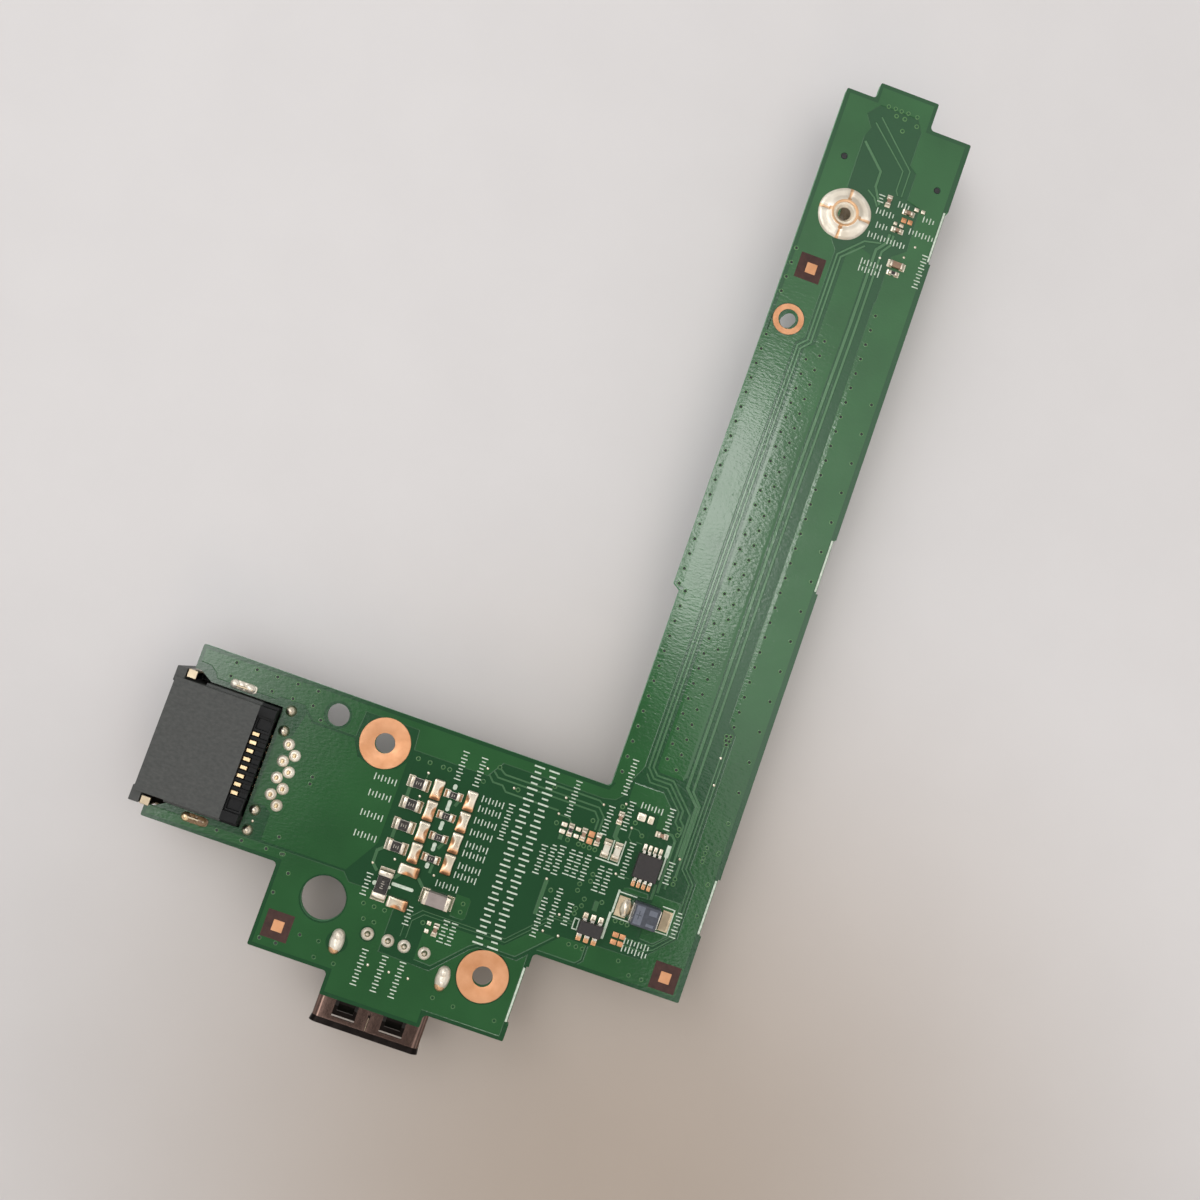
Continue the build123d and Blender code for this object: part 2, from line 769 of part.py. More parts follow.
def make_standoff_solder():
    """Ring of solder around the shank, parted by four lean spokes."""
    with BuildPart() as solder:
        with BuildSketch(level(0)):
            with Locations((standoff_x, standoff_y)):
                Circle(solder_radius)
                Circle(shank_radius + hole_clearance, mode=Mode.SUBTRACT)
        extrude(amount=solder_height)
        with BuildSketch(level(solder_height / 2)):
            with Locations((standoff_x, standoff_y)):
                Rectangle(2 * solder_radius, spoke_width)
                Rectangle(spoke_width, 2 * solder_radius)
        extrude(amount=solder_height, mode=Mode.SUBTRACT)
    save(solder, "standoff_solder")


def make_link_housing():
    """Board-to-board housing with a trough for its plug, a slot for each contact and two pegs in the board."""
    floor = far_face - link_height
    with BuildPart() as housing:
        with BuildSketch(level(floor)) as outline:
            with Locations((link_x, link_y)):
                Rectangle(link_length, link_width)
            chamfer(outline.vertices(), link_wall / 2)
        extrude(amount=link_height)
        with BuildSketch(level(floor)):
            with Locations((link_x, link_y)):
                Rectangle(link_length - 2 * link_wall, link_width - 2 * link_wall)
        extrude(amount=link_height - link_floor, mode=Mode.SUBTRACT)
        with BuildSketch(level(far_face)):
            with Locations((link_x, link_y + peg_offset)):
                with GridLocations(peg_spacing, 0, 2, 1):
                    Circle(peg_radius)
        extrude(amount=board_thickness)
        foot_depth = link_contact_thickness + link_clearance
        for side in (1, -1):
            edge = link_y + side * link_width / 2
            blade = link_blade_y(side)
            end = blade - side * foot_depth / 2
            for x in link_contact_places():
                slot = (x - link_slot / 2, x + link_slot / 2)
                block(slot, (edge, end), (far_face - foot_depth, far_face), Mode.SUBTRACT)
                shaft = (blade - foot_depth / 2, blade + foot_depth / 2)
                block(slot, shaft, (far_face - link_floor, far_face), Mode.SUBTRACT)
    save(housing, "link_housing")


def link_contact_places():
    """Places of the contacts along the connector."""
    return [link_x + (i - (link_contact_count - 1) / 2) * link_pitch for i in range(link_contact_count)]


def link_blade_y(side):
    """Middle of a contact's blade, close inside the trough's wall."""
    return link_y + side * (link_width / 2 - link_wall - link_clearance - link_contact_thickness / 2)


def make_link_contacts():
    """Two rows of contacts: a foot soldered to the board's far face, turned down into a blade in the trough."""
    foot_z = far_face - link_contact_thickness / 2
    with BuildPart() as contacts:
        for side in (1, -1):
            blade = link_blade_y(side)
            toe = link_y + side * (link_width / 2 + link_toe)
            path = [(toe, foot_z), (blade, foot_z), (blade, far_face - link_height + link_blade_recess)]
            for x in link_contact_places():
                ribbon(path, end_view(x), link_contact_width, link_contact_thickness)
    save(contacts, "link_contacts")


def make_chip(name, case, x, y, upright):
    """Chip part: a ceramic core and a metal band around each end."""
    length, width, height, band = case
    with BuildPart() as chip:
        with BuildSketch(level(0)):
            with Locations(Location((x, y, 0), 90 if upright else 0)):
                Rectangle(length - 2 * end_proud, width - 2 * end_proud)
        extrude(amount=height - end_proud)
        with BuildSketch(level(0)):
            with Locations(Location((x, y, 0), 90 if upright else 0)):
                with GridLocations(length - band, 0, 2, 1):
                    Rectangle(band, width)
        extrude(amount=height)
    save(chip, name)


def make_package(name, place, size, pitch, lead_count, span, lead_width):
    """Moulded package with gull-wing leads on its two long sides, as a body and a set of leads."""
    x, y = place
    length, width, height = size
    middle = package_lift + (height - package_lift) / 2
    with BuildPart() as body:
        for direction in (1, -1):
            with BuildSketch(level(middle)):
                with Locations((x, y)):
                    Rectangle(length, width)
            extrude(amount=direction * (height - package_lift) / 2, taper=package_draft)
    save(body, name)
    with BuildPart() as leads:
        for side in (1, -1):
            for i in range(lead_count):
                lead_x = x + (i - (lead_count - 1) / 2) * pitch
                path = [
                    (y + side * width / 2, middle),
                    (y + side * (width / 2 + (span - width) * lead_shoulder_share), middle),
                    (y + side * (width / 2 + (span - width) * lead_foot_share), lead_thickness / 2),
                    (y + side * span / 2, lead_thickness / 2),
                ]
                ribbon(path, end_view(lead_x), lead_width, lead_thickness)
    save(leads, f"{name}_leads")


def make_tank():
    """Moulded tantalum capacitor with a folded terminal round each end."""
    x, y = tank_place
    length, width, height = tank_size
    wall = tank_terminal_thickness
    with BuildPart() as body:
        with BuildSketch(level(tank_lift + wall)):
            with Locations((x, y)):
                Rectangle(length - 2 * wall, width)
        extrude(amount=height - tank_lift - wall, taper=package_draft / 2)
    save(body, "tank_capacitor")
    with BuildPart() as terminals:
        for side in (1, -1):
            end = x + side * (length / 2 - wall / 2)
            path = [
                (end, tank_lift + height / 2),
                (end, tank_lift + wall / 2),
                (end - side * tank_terminal_foot, tank_lift + wall / 2),
            ]
            ribbon(path, side_view(y), tank_terminal_width, wall)
    save(terminals, "tank_capacitor_terminals")


def cone_joints(places, hole):
    """Small solder cones, each around a pin of the given section."""
    with BuildSketch(level(0)) as cones:
        with Locations(*places):
            RegularPolygon(joint_radius, joint_sides)
    extrude(cones.sketch, amount=joint_height, taper=joint_slope)
    with BuildSketch(level(0)) as pins:
        with Locations(*places):
            Rectangle(*hole)
    extrude(pins.sketch, amount=joint_height, mode=Mode.SUBTRACT)


def bar_joints(places, tab, along_y):
    """Solder lumps around the flat tabs of a shell, where the board's slots are."""
    length = tab[1] + 2 * (joint_radius - joint_overlap)
    turned = [Location((x, y, 0), 90 if along_y else 0) for x, y in places]
    with BuildSketch(level(0)) as lumps:
        with Locations(*turned):
            Rectangle(length, tab_joint_width)
        chamfer(lumps.vertices(), tab_joint_width / 4)
    extrude(lumps.sketch, amount=joint_height, taper=tab_joint_slope)
    with BuildSketch(level(0)) as slots:
        with Locations(*turned):
            Rectangle(tab[1] + 2 * hole_clearance, tab[0] + 2 * hole_clearance)
    extrude(slots.sketch, amount=joint_height, mode=Mode.SUBTRACT)


def make_socket_solder():
    """Solder joints of both sockets' pins and tabs."""
    pin_gap = 2 * hole_clearance
    with BuildPart() as jack_solder:
        tails = [(jack_back + tail_rows[i % 2], y) for i, y in enumerate(contact_places)]
        ends = [(jack_front + shield_leg_x, y) for y in end_places]
        cone_joints([*tails, *ends], (contact_thickness + pin_gap / 2, contact_width + pin_gap / 2))
        legs = [(jack_front + shield_leg_x, shield_leg_y(side)) for side in (1, -1)]
        cone_joints(legs, (shield_thickness + pin_gap / 2, shield_leg_width + pin_gap / 2))
        tabs = [(jack_front + shield_tab_x, shield_y(side)) for side in (1, -1)]
        bar_joints(tabs, (shield_thickness, shield_tab_length), False)
    save(jack_solder, "jack_solder")
    with BuildPart() as usb_solder:
        pins = [(usb_x + x, usb_front + usb_pin_y) for x in usb_pins]
        cone_joints(pins, (usb_pin_radius + pin_gap / 2, usb_contact_thickness + pin_gap / 2))
        tabs = [(usb_x + side * usb_tab_x, usb_front + usb_tab_y) for side in (1, -1)]
        bar_joints(tabs, (usb_wall, usb_tab_length), True)
    save(usb_solder, "usb_solder")


def make_spare_lumps():
    """Solder left on the lands of the capacitors that are not fitted."""
    upright = [(x, y) for y in row_places for x in (left_spare_x, right_spare_x)]
    with BuildPart() as lumps:
        with BuildSketch(level(0)):
            with Locations(*upright):
                Rectangle(spare_lump_width, spare_lump_length)
            with Locations(*cross_spares):
                Rectangle(spare_lump_length, spare_lump_width)
        extrude(amount=spare_lump_height, taper=spare_lump_slope)
    save(lumps, "spare_land_solder")


def make_chips():
    for row, y in enumerate(row_places, start=1):
        make_chip(f"line_resistor_{row}", case_0805, line_resistor_x, y, False)
        make_chip(f"link_resistor_{row}", case_0603, link_resistor_x, y, False)
    for name, (case, x, y, upright) in foot_chips.items():
        make_chip(name, case, x, y, upright)
    for name, (case, x, below_tip, upright) in tip_chips.items():
        make_chip(name, case, x, arm_length - below_tip, upright)


os.makedirs("parts", exist_ok=True)
make_board()
make_jack_housing()
make_jack_carrier()
make_jack_contacts()
make_jack_end_contacts()
make_jack_shield("jack_shield_upper", 1)
make_jack_shield("jack_shield_lower", -1)
make_usb_shell()
make_usb_insulator()
make_usb_contacts()
make_standoff()
make_standoff_solder()
make_link_housing()
make_link_contacts()
make_chips()
make_package(
    "power_chip", power_chip_place, power_chip_size,
    power_chip_pitch, power_lead_count, power_chip_span, power_lead_width,
)
make_package(
    "guard_chip", guard_chip_place, guard_chip_size,
    guard_chip_pitch, guard_lead_count, guard_chip_span, guard_lead_width,
)
make_tank()
make_socket_solder()
make_spare_lumps()
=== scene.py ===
import math

import bmesh
import bpy
from mathutils import Matrix, Vector


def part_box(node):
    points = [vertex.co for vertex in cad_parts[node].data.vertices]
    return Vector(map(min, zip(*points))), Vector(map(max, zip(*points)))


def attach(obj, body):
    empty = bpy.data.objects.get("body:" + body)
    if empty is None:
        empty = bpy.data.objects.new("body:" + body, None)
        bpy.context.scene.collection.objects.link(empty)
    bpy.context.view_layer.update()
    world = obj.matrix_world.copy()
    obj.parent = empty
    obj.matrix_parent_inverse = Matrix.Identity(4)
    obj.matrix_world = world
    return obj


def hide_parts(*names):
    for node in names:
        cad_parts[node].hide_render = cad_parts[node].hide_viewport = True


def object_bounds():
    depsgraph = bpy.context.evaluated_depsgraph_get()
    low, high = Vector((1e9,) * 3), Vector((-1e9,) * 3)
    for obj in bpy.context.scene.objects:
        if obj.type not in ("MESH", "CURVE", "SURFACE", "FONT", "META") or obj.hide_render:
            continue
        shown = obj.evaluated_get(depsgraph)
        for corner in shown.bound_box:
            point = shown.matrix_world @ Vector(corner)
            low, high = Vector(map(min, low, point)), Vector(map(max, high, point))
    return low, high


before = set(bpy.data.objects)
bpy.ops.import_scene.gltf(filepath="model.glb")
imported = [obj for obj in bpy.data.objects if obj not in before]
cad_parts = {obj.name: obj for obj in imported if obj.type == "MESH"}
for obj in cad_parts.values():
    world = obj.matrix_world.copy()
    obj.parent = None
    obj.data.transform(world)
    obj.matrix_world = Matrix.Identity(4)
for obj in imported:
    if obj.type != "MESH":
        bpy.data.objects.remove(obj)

cad_bounds = [list(corner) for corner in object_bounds()]

# Everything on the board is modelled in millimetres from the board's lower right corner: u along the foot
# (leftwards is negative), v up the arm, height from the component face.
MM = 0.001
BOARD_CORNER = Vector((22.9, 4.45, 0.0))
BOARD_FRAME = Matrix.Scale(MM, 4) @ Matrix.Translation(BOARD_CORNER)
FAR_FACE = -1.2

COPPER = 0.03
PLATED = 0.045
INK = 0.055
SUNK = -0.01


def linear(code):
    """Colour written as an sRGB hex value, as the linear colour that a shader takes."""
    parts = [int(code[i:i + 2], 16) / 255 for i in (1, 3, 5)]
    return tuple(c / 12.92 if c <= 0.04045 else ((c + 0.055) / 1.055) ** 2.4 for c in parts) + (1.0,)


# ---------------------------------------------------------------- finishes


def add_node(tree, kind, links=None, **settings):
    """Add a node. links gives each named input a value, or the output of another node."""
    made = tree.nodes.new(kind)
    for key, value in settings.items():
        setattr(made, key, value)
    for key, value in (links or {}).items():
        if isinstance(value, bpy.types.NodeSocket):
            tree.links.new(value, made.inputs[key])
        else:
            made.inputs[key].default_value = value
    return made


def new_finish(name, colour, roughness, metallic=0.0, ior=1.5):
    """Material with its plain values on the shader's own sockets."""
    finish = bpy.data.materials.new(name)
    finish.use_nodes = True
    shader = finish.node_tree.nodes["Principled BSDF"]
    shader.inputs["Base Color"].default_value = linear(colour)
    shader.inputs["Roughness"].default_value = roughness
    shader.inputs["Metallic"].default_value = metallic
    if not metallic:
        shader.inputs["IOR"].default_value = ior
    return finish, finish.node_tree, shader


def pattern(tree, size_mm, detail=2.0, stretch=(1, 1, 1), seed=0.0):
    """Noise whose features are about size_mm across, in the object's own coordinates."""
    place = add_node(tree, "ShaderNodeTexCoord").outputs["Object"]
    links = {"Vector": place, "Scale": stretch, "Location": (seed, seed, seed)}
    moved = add_node(tree, "ShaderNodeMapping", links).outputs[0]
    noise = {"Vector": moved, "Scale": 1 / (size_mm * MM), "Detail": detail}
    return add_node(tree, "ShaderNodeTexNoise", noise).outputs[0]


def blend(tree, amount, first, second):
    """Colour that runs from first to second, each a hex code or another node's output."""
    mix = add_node(tree, "ShaderNodeMix", {"Factor": amount}, data_type="RGBA")
    for socket, colour in ((mix.inputs[6], first), (mix.inputs[7], second)):
        if isinstance(colour, str):
            socket.default_value = linear(colour)
        else:
            tree.links.new(colour, socket)
    return mix.outputs[2]


# Noise seldom leaves this range, so a tone or gloss runs over it from end to end.
NOISE_RANGE = {"From Min": 0.3, "From Max": 0.7}


def two_tone(tree, shader, fac, low, high):
    """Colour that runs from low to high over the middle of a pattern."""
    spread = add_node(tree, "ShaderNodeMapRange", {"Value": fac, **NOISE_RANGE})
    tone = blend(tree, spread.outputs[0], low, high)
    tree.links.new(tone, shader.inputs["Base Color"])
    return tone


def varied_roughness(tree, shader, fac, low, high):
    """Roughness that runs from low to high over the middle of a pattern."""
    links = {"Value": fac, **NOISE_RANGE, "To Min": low, "To Max": high}
    spread = add_node(tree, "ShaderNodeMapRange", links)
    tree.links.new(spread.outputs[0], shader.inputs["Roughness"])


def relief(tree, shader, layers):
    """Bumps laid over each other, each (pattern, height in mm)."""
    normal = None
    for height, depth_mm in layers:
        links = {"Height": height, "Distance": depth_mm * MM, "Strength": 1.0}
        if normal is not None:
            links["Normal"] = normal
        normal = add_node(tree, "ShaderNodeBump", links).outputs[0]
    tree.links.new(normal, shader.inputs["Normal"])


def mask_relief(tree, shader, seed=0.0):
    """Surface of cured mask: slow ripples, and the glass cloth that prints through as fine crazing."""
    relief(tree, shader, [
        (pattern(tree, 5.0, 1.0, seed=seed), 0.005),
        (pattern(tree, 0.38, 2.0, stretch=(0.7, 1.5, 1), seed=seed + 1), 0.0085),
    ])


# Painted light: how much lighter the mask colours grow up the arm.
ARM_PAINTED_LIGHT = 1.25


def lit_along_arm(tree, shader, colour):
    """Lighten a colour gradually along the arm: painted light, for the brighter light that falls on the arm."""
    place = add_node(tree, "ShaderNodeTexCoord").outputs["Object"]
    split = add_node(tree, "ShaderNodeSeparateXYZ", {"Vector": place})
    rise = add_node(tree, "ShaderNodeMapRange", {
        "Value": split.outputs["Y"], "From Min": 18 * MM, "From Max": 50 * MM, "To Min": 1.0,
        "To Max": ARM_PAINTED_LIGHT,
    }, interpolation_type="SMOOTHSTEP")
    scaled = add_node(tree, "ShaderNodeVectorMath", {0: colour, "Scale": rise.outputs[0]}, operation="SCALE")
    tree.links.new(scaled.outputs[0], shader.inputs["Base Color"])


def mask_finish(name, low, high, seed, ior=1.52):
    """Green solder mask: a glossy epoxy film, flowed on and cured. It gives a clear shine with ragged edges."""
    finish, tree, shader = new_finish(name, high, 0.07, ior=ior)
    tone = two_tone(tree, shader, pattern(tree, 9.0, 3.0, seed=seed), low, high)
    # Painted light: the mask lightens up the arm.
    lit_along_arm(tree, shader, tone)
    varied_roughness(tree, shader, pattern(tree, 5.0, 2.0, seed=seed + 3), 0.05, 0.09)
    mask_relief(tree, shader, seed)
    return finish


def board_finish():
    """Bare FR-4 under solder mask on both faces, and its routed edge, where the glass cloth shows pale and dull."""
    finish, tree, shader = new_finish("mask_over_laminate", "#1d4a30", 0.2, ior=1.52)
    place = add_node(tree, "ShaderNodeTexCoord").outputs["Object"]
    split = add_node(tree, "ShaderNodeSeparateXYZ", {"Vector": place})
    middle = add_node(tree, "ShaderNodeMath", {0: split.outputs["Z"], 1: 0.6 * MM}, operation="ADD")
    inside = add_node(tree, "ShaderNodeMath", {0: middle.outputs[0]}, operation="ABSOLUTE")
    edge = add_node(tree, "ShaderNodeMath", {0: inside.outputs[0], 1: 0.585 * MM}, operation="LESS_THAN")
    cloth = pattern(tree, 0.25, 2.0, stretch=(1, 1, 3))
    face = blend(tree, pattern(tree, 7.0, 3.0), "#1d4227", "#214a2b")
    side = blend(tree, cloth, "#2c6a43", "#5f9a6c")
    # Painted light: the board's faces lighten up the arm.
    lit_along_arm(tree, shader, blend(tree, edge.outputs[0], face, side))
    rough = add_node(tree, "ShaderNodeMapRange", {"Value": edge.outputs[0], "To Min": 0.09, "To Max": 0.62})
    tree.links.new(rough.outputs[0], shader.inputs["Roughness"])
    mask_relief(tree, shader)
    return finish


def metal_finish(name, low, high, roughness, grain_mm, depth, stretch=(1, 1, 1), spread=0.08):
    """Metal whose tone and gloss vary over a grain."""
    finish, tree, shader = new_finish(name, high, roughness, metallic=1.0)
    grain = pattern(tree, grain_mm, 3.0, stretch=stretch)
    two_tone(tree, shader, pattern(tree, grain_mm * 3, 3.0, stretch=stretch, seed=2.0), low, high)
    varied_roughness(tree, shader, grain, roughness - spread, roughness + spread)
    relief(tree, shader, [(grain, depth)])
    return finish


def solder_finish(name, low, high, roughness, depth, metallic=1.0):
    """Solder, bright and soft-edged. Where a shape carries a stain value it turns to tan copper, and then to a dark
    brown that is partly burnt flux and partly painted shade.
    """
    finish, tree, shader = new_finish(name, high, roughness, metallic=metallic)
    tone = two_tone(tree, shader, pattern(tree, 2.0, 2.0, seed=2.0), low, high)
    stain_and_shade = add_node(tree, "ShaderNodeAttribute", attribute_name="stain_and_shade").outputs["Fac"]
    # Tan copper, then a dark brown that on the lumps' low ends is partly flux and partly painted shade.
    for start, code in ((0.0, "#cb966c"), (1.0, "#4d3425")):
        links = {"Value": stain_and_shade, "From Min": start, "From Max": start + 1}
        tone = blend(tree, add_node(tree, "ShaderNodeMapRange", links).outputs[0], tone, code)
    tree.links.new(tone, shader.inputs["Base Color"])
    varied_roughness(tree, shader, pattern(tree, 0.8, 1.0), roughness - 0.05, roughness + 0.05)
    relief(tree, shader, [(pattern(tree, 0.7, 1.0, seed=4.0), depth)])
    return finish


def plain_finish(name, low, high, roughness, grain_mm, depth, ior=1.5, stretch=(1, 1, 1)):
    """Moulded, printed or fired surface with a fine grain."""
    finish, tree, shader = new_finish(name, high, roughness, ior=ior)
    grain = pattern(tree, grain_mm, 3.0, stretch=stretch)
    two_tone(tree, shader, pattern(tree, grain_mm * 2.5, 4.0, seed=1.0, stretch=stretch), low, high)
    varied_roughness(tree, shader, grain, roughness - 0.06, roughness + 0.06)
    relief(tree, shader, [(grain, depth)])
    return finish


MASK_BARE = board_finish()
# Over copper the same film reads a little lighter, and over a narrow trace, where it lies thin, lighter still.
MASK_COPPER = mask_finish("mask_over_copper", "#264f2c", "#2c5932", 0.0)
MASK_TRACE = mask_finish("mask_over_traces", "#3d6140", "#496d4c", 5.0)
# The steep sides of a trace turn their shine away from the eye, so they read as thin dark lines; their colour is
# painted darker as that shade.
MASK_SLOPE_SHADE = mask_finish("mask_down_trace_sides_painted_shade", "#193d22", "#1f4528", 9.0, ior=1.25)
# Tented vias: the film sags into the hole, so the ring is thin and yellowish, and the middle is painted nearly black as
# the shade of the hole under the film.
MASK_RING = mask_finish("mask_over_via_rings", "#3a6338", "#4d7544", 7.0)
VIA_HOLE_SHADE = plain_finish("via_hole_painted_shade", "#040d07", "#08180d", 0.5, 0.2, 0.001)
# Printed epoxy legend ink: matt, thin enough to take a green cast.
LEGEND_INK = plain_finish("legend_ink", "#a9b8a4", "#cfd8c8", 0.6, 0.15, 0.004)
# Bare copper with a clear organic coat: satin, salmon orange, faintly mottled.
BARE_COPPER = metal_finish("coated_copper", "#c18a63", "#cf9a75", 0.45, 0.6, 0.0006)
# Laminate without mask round the alignment marks: brown resin, dull.
BARE_RESIN = plain_finish("bare_laminate", "#331a13", "#462720", 0.55, 0.3, 0.004, ior=1.4)
# Reflowed tin-silver solder: bright, smooth, with a slightly frosted crust.
SOLDER = solder_finish("reflowed_solder", "#bcae97", "#e9dfce", 0.3, 0.004)
SOLDER_DULL = solder_finish("hand_soldered_tin", "#c9bdab", "#eee5d6", 0.38, 0.01, metallic=0.6)
# Tinned lands where the solder ran thin: tan, satin.
LAND_TAN = metal_finish("thinly_tinned_land", "#a28f77", "#cbb99c", 0.4, 0.6, 0.001)
# Flux-stained solder over a copper spoke.
SPOKE_TAN = metal_finish("flux_stained_solder", "#c0946c", "#dfb893", 0.4, 0.6, 0.001)
# Flux left over thin solder: amber brown and glassy.
FLUX = plain_finish("amber_flux", "#6a5139", "#8c6f4d", 0.2, 0.3, 0.002)
# Glass-filled nylon, spark-eroded mould: charcoal with a fine grain.
JACK_PLASTIC = plain_finish(
    "grained_nylon", "#363735", "#434441", 0.62, 0.22, 0.006, ior=1.53, stretch=(1, 1.5, 1),
)
# The same nylon from a polished part of the mould, painted nearly black for the deep shade it lies in.
COMB_SHADE_PLASTIC = plain_finish("nylon_painted_shade", "#0a0a0b", "#101011", 0.4, 0.5, 0.002, ior=1.28)
# Liquid crystal polymer of the connectors: black, smooth, half matt.
LINK_PLASTIC = plain_finish("connector_lcp", "#111112", "#1b1b1c", 0.45, 0.4, 0.003)
SOCKET_PLASTIC = plain_finish("socket_lcp", "#101012", "#1a1a1c", 0.4, 0.4, 0.004)
# Tin-plated steel, rolled and stamped: brownish in this room's light, brushed along the roll.
SHELL_STEEL = metal_finish(
    "tinned_steel", "#624e47", "#745e55", 0.2, 0.3, 0.0006, stretch=(6, 1, 1), spread=0.04,
)
# Springs and lips that face away from the light: the same plating, painted dark as their shade. It also draws the
# shell's dark seam line.
DARK_STEEL = metal_finish("steel_seam_and_painted_shade", "#151211", "#201c1a", 0.35, 0.4, 0.001)
# Shield plates and their hooks: the same plating, paler where it catches the light.
SHIELD_STEEL = metal_finish("tinned_shield", "#9f907a", "#b0a188", 0.3, 0.5, 0.0006, spread=0.03)
# Tin over turned brass: bright and slightly yellow.
BRASS_TIN = solder_finish("tinned_brass", "#c6b9a3", "#e4d8c4", 0.32, 0.002, metallic=0.7)
# Thin gold over nickel on sprung contacts: pale and soft. On one solder dome it stands for a painted glint.
GOLD_AND_GLINT = metal_finish("gold_plate", "#cdb086", "#e3caa2", 0.3, 0.6, 0.0006, spread=0.04)
# Matt tin on chip leads: whitish and bright.
LEAD_TIN = metal_finish("tinned_leads", "#c9c2b6", "#ece6da", 0.26, 0.5, 0.001, spread=0.05)
# Transfer-moulded epoxy of chips: near black, faintly speckled.
CHIP_EPOXY = plain_finish("chip_epoxy", "#16100f", "#241b1a", 0.42, 0.12, 0.006)
# Moulded tantalum case, bluish grey, with a band printed in paler grey.
TANK_EPOXY = plain_finish("tantalum_epoxy", "#32353e", "#3f434d", 0.42, 0.2, 0.005)
TANK_BAND = plain_finish("tantalum_band_ink", "#5a5e69", "#696d78", 0.5, 0.2, 0.003)
# Thick-film resistor: white alumina under a black glass coat.
ALUMINA = plain_finish("alumina", "#cfc9bd", "#e0dace", 0.55, 0.2, 0.004)
RESISTOR_GLASS = plain_finish("resistor_overglaze", "#1c1713", "#2c251f", 0.3, 0.3, 0.004)
MARKING_INK = plain_finish("resistor_marking", "#8f867a", "#b5aca0", 0.5, 0.15, 0.001)
# Sintered barium titanate: tan in small cases, grey-brown in the large one.
CAPACITOR_TAN = plain_finish("capacitor_ceramic", "#80624c", "#9a7c65", 0.4, 0.25, 0.003)
CAPACITOR_GREY = plain_finish("capacitor_ceramic_grey", "#857974", "#9a8d87", 0.38, 0.4, 0.003)
FUSE_CERAMIC = plain_finish("fuse_ceramic", "#c9c1b0", "#ddd6c6", 0.5, 0.3, 0.004)
# Fired silver and tin ends of chip parts.
CHIP_END = metal_finish("tinned_chip_ends", "#a99a88", "#ddd3c4", 0.3, 0.4, 0.0015, spread=0.05)


# ---------------------------------------------------------------- shapes, all in millimetres on the board


def add_piece(name, bm, finishes, stands_for=(), sharp=35):
    """Set a finished shape in its place in the frame, with its finishes and the body that it rides on."""
    bm.transform(BOARD_FRAME)
    mesh = bpy.data.meshes.new(name)
    bm.to_mesh(mesh)
    bm.free()
    mesh.polygons.foreach_set("use_smooth", [True] * len(mesh.polygons))
    mesh.set_sharp_from_angle(angle=math.radians(sharp))
    for finish in finishes:
        mesh.materials.append(finish)
    piece = bpy.data.objects.new(name, mesh)
    bpy.context.scene.collection.objects.link(piece)
    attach(piece, "root")
    if stands_for:
        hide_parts(*stands_for)
    return piece


def raise_faces(bm, faces, height, shoulder=0.0, droop=0.0, bank_finish=0):
    """Give flat faces a thickness, upwards. A shoulder is the width over which the film droops to its edge, and
    bank_finish is the finish of that width."""
    grown = bmesh.ops.extrude_face_region(bm, geom=faces)["geom"]
    tops = [v for v in grown if isinstance(v, bmesh.types.BMVert)]
    bmesh.ops.translate(bm, vec=(0, 0, height - droop), verts=tops)
    if shoulder:
        lids = [f for f in grown if isinstance(f, bmesh.types.BMFace)]
        banks = bmesh.ops.inset_region(
            bm, faces=lids, use_boundary=True, use_even_offset=True, thickness=shoulder, depth=droop,
        )["faces"]
        for face in banks:
            face.material_index = bank_finish


def sheet(bm, outline, top, holes=(), bottom=SUNK, shoulder=0.0, droop=0.0):
    """Flat sheet with the given outline and round holes (u, v, radius)."""
    corners = [bm.verts.new((u, v, bottom)) for u, v in outline]
    edges = [bm.edges.new((a, b)) for a, b in zip(corners, corners[1:] + corners[:1])]
    for u, v, radius in holes:
        middle = Matrix.Translation((u, v, bottom))
        rim = bmesh.ops.create_circle(bm, cap_ends=False, segments=24, radius=radius, matrix=middle)
        edges += dict.fromkeys(e for vert in rim["verts"] for e in vert.link_edges)
    filled = bmesh.ops.triangle_fill(bm, use_beauty=True, use_dissolve=False, edges=edges, normal=(0, 0, 1))
    faces = [f for f in filled["geom"] if isinstance(f, bmesh.types.BMFace)]
    raise_faces(bm, faces, top - bottom, shoulder, droop)


# Film over a trace: how far its foot lies outside the copper, the width and drop of its slopes, and how far a
# mitre may run out at a sharp corner.
TRACE_FOOT = 0.03
TRACE_SKIRT = 0.05
TRACE_DROOP = 0.012
LEAST_MITRE = 0.4


def strip(bm, points, width, top):
    """Trace under its film along a line of points, mitred at its corners: a flat top between two long slopes."""
    line = [Vector(p) for p in points]
    runs = [(b - a).normalized() for a, b in zip(line, line[1:])]
    edge, faces = None, []
    for i, point in enumerate(line):
        before, after = runs[max(i - 1, 0)], runs[min(i, len(runs) - 1)]
        across = Vector((-(before + after).y, (before + after).x)).normalized()
        across *= (width / 2 + TRACE_FOOT) / max(LEAST_MITRE, across.dot(Vector((-after.y, after.x))))
        ends = [Vector((*(point + side * across), SUNK)) for side in (1, -1)]
        if edge is None:
            edge = bm.edges.new([bm.verts.new(end) for end in ends])
            continue
        start = edge.verts[:]
        grown = bmesh.ops.extrude_edge_only(bm, edges=[edge])["geom"]
        faces += [f for f in grown if isinstance(f, bmesh.types.BMFace)]
        edge = next(e for e in grown if isinstance(e, bmesh.types.BMEdge) and not set(e.verts) & set(start))
        for old, end in zip(start, ends):
            next(e.other_vert(old) for e in old.link_edges if e.other_vert(old) in edge.verts).co = end
    bm.normal_update()
    bmesh.ops.reverse_faces(bm, faces=[f for f in faces if f.normal.z < 0])
    raise_faces(bm, faces, top - SUNK, TRACE_SKIRT, TRACE_DROOP, 1)


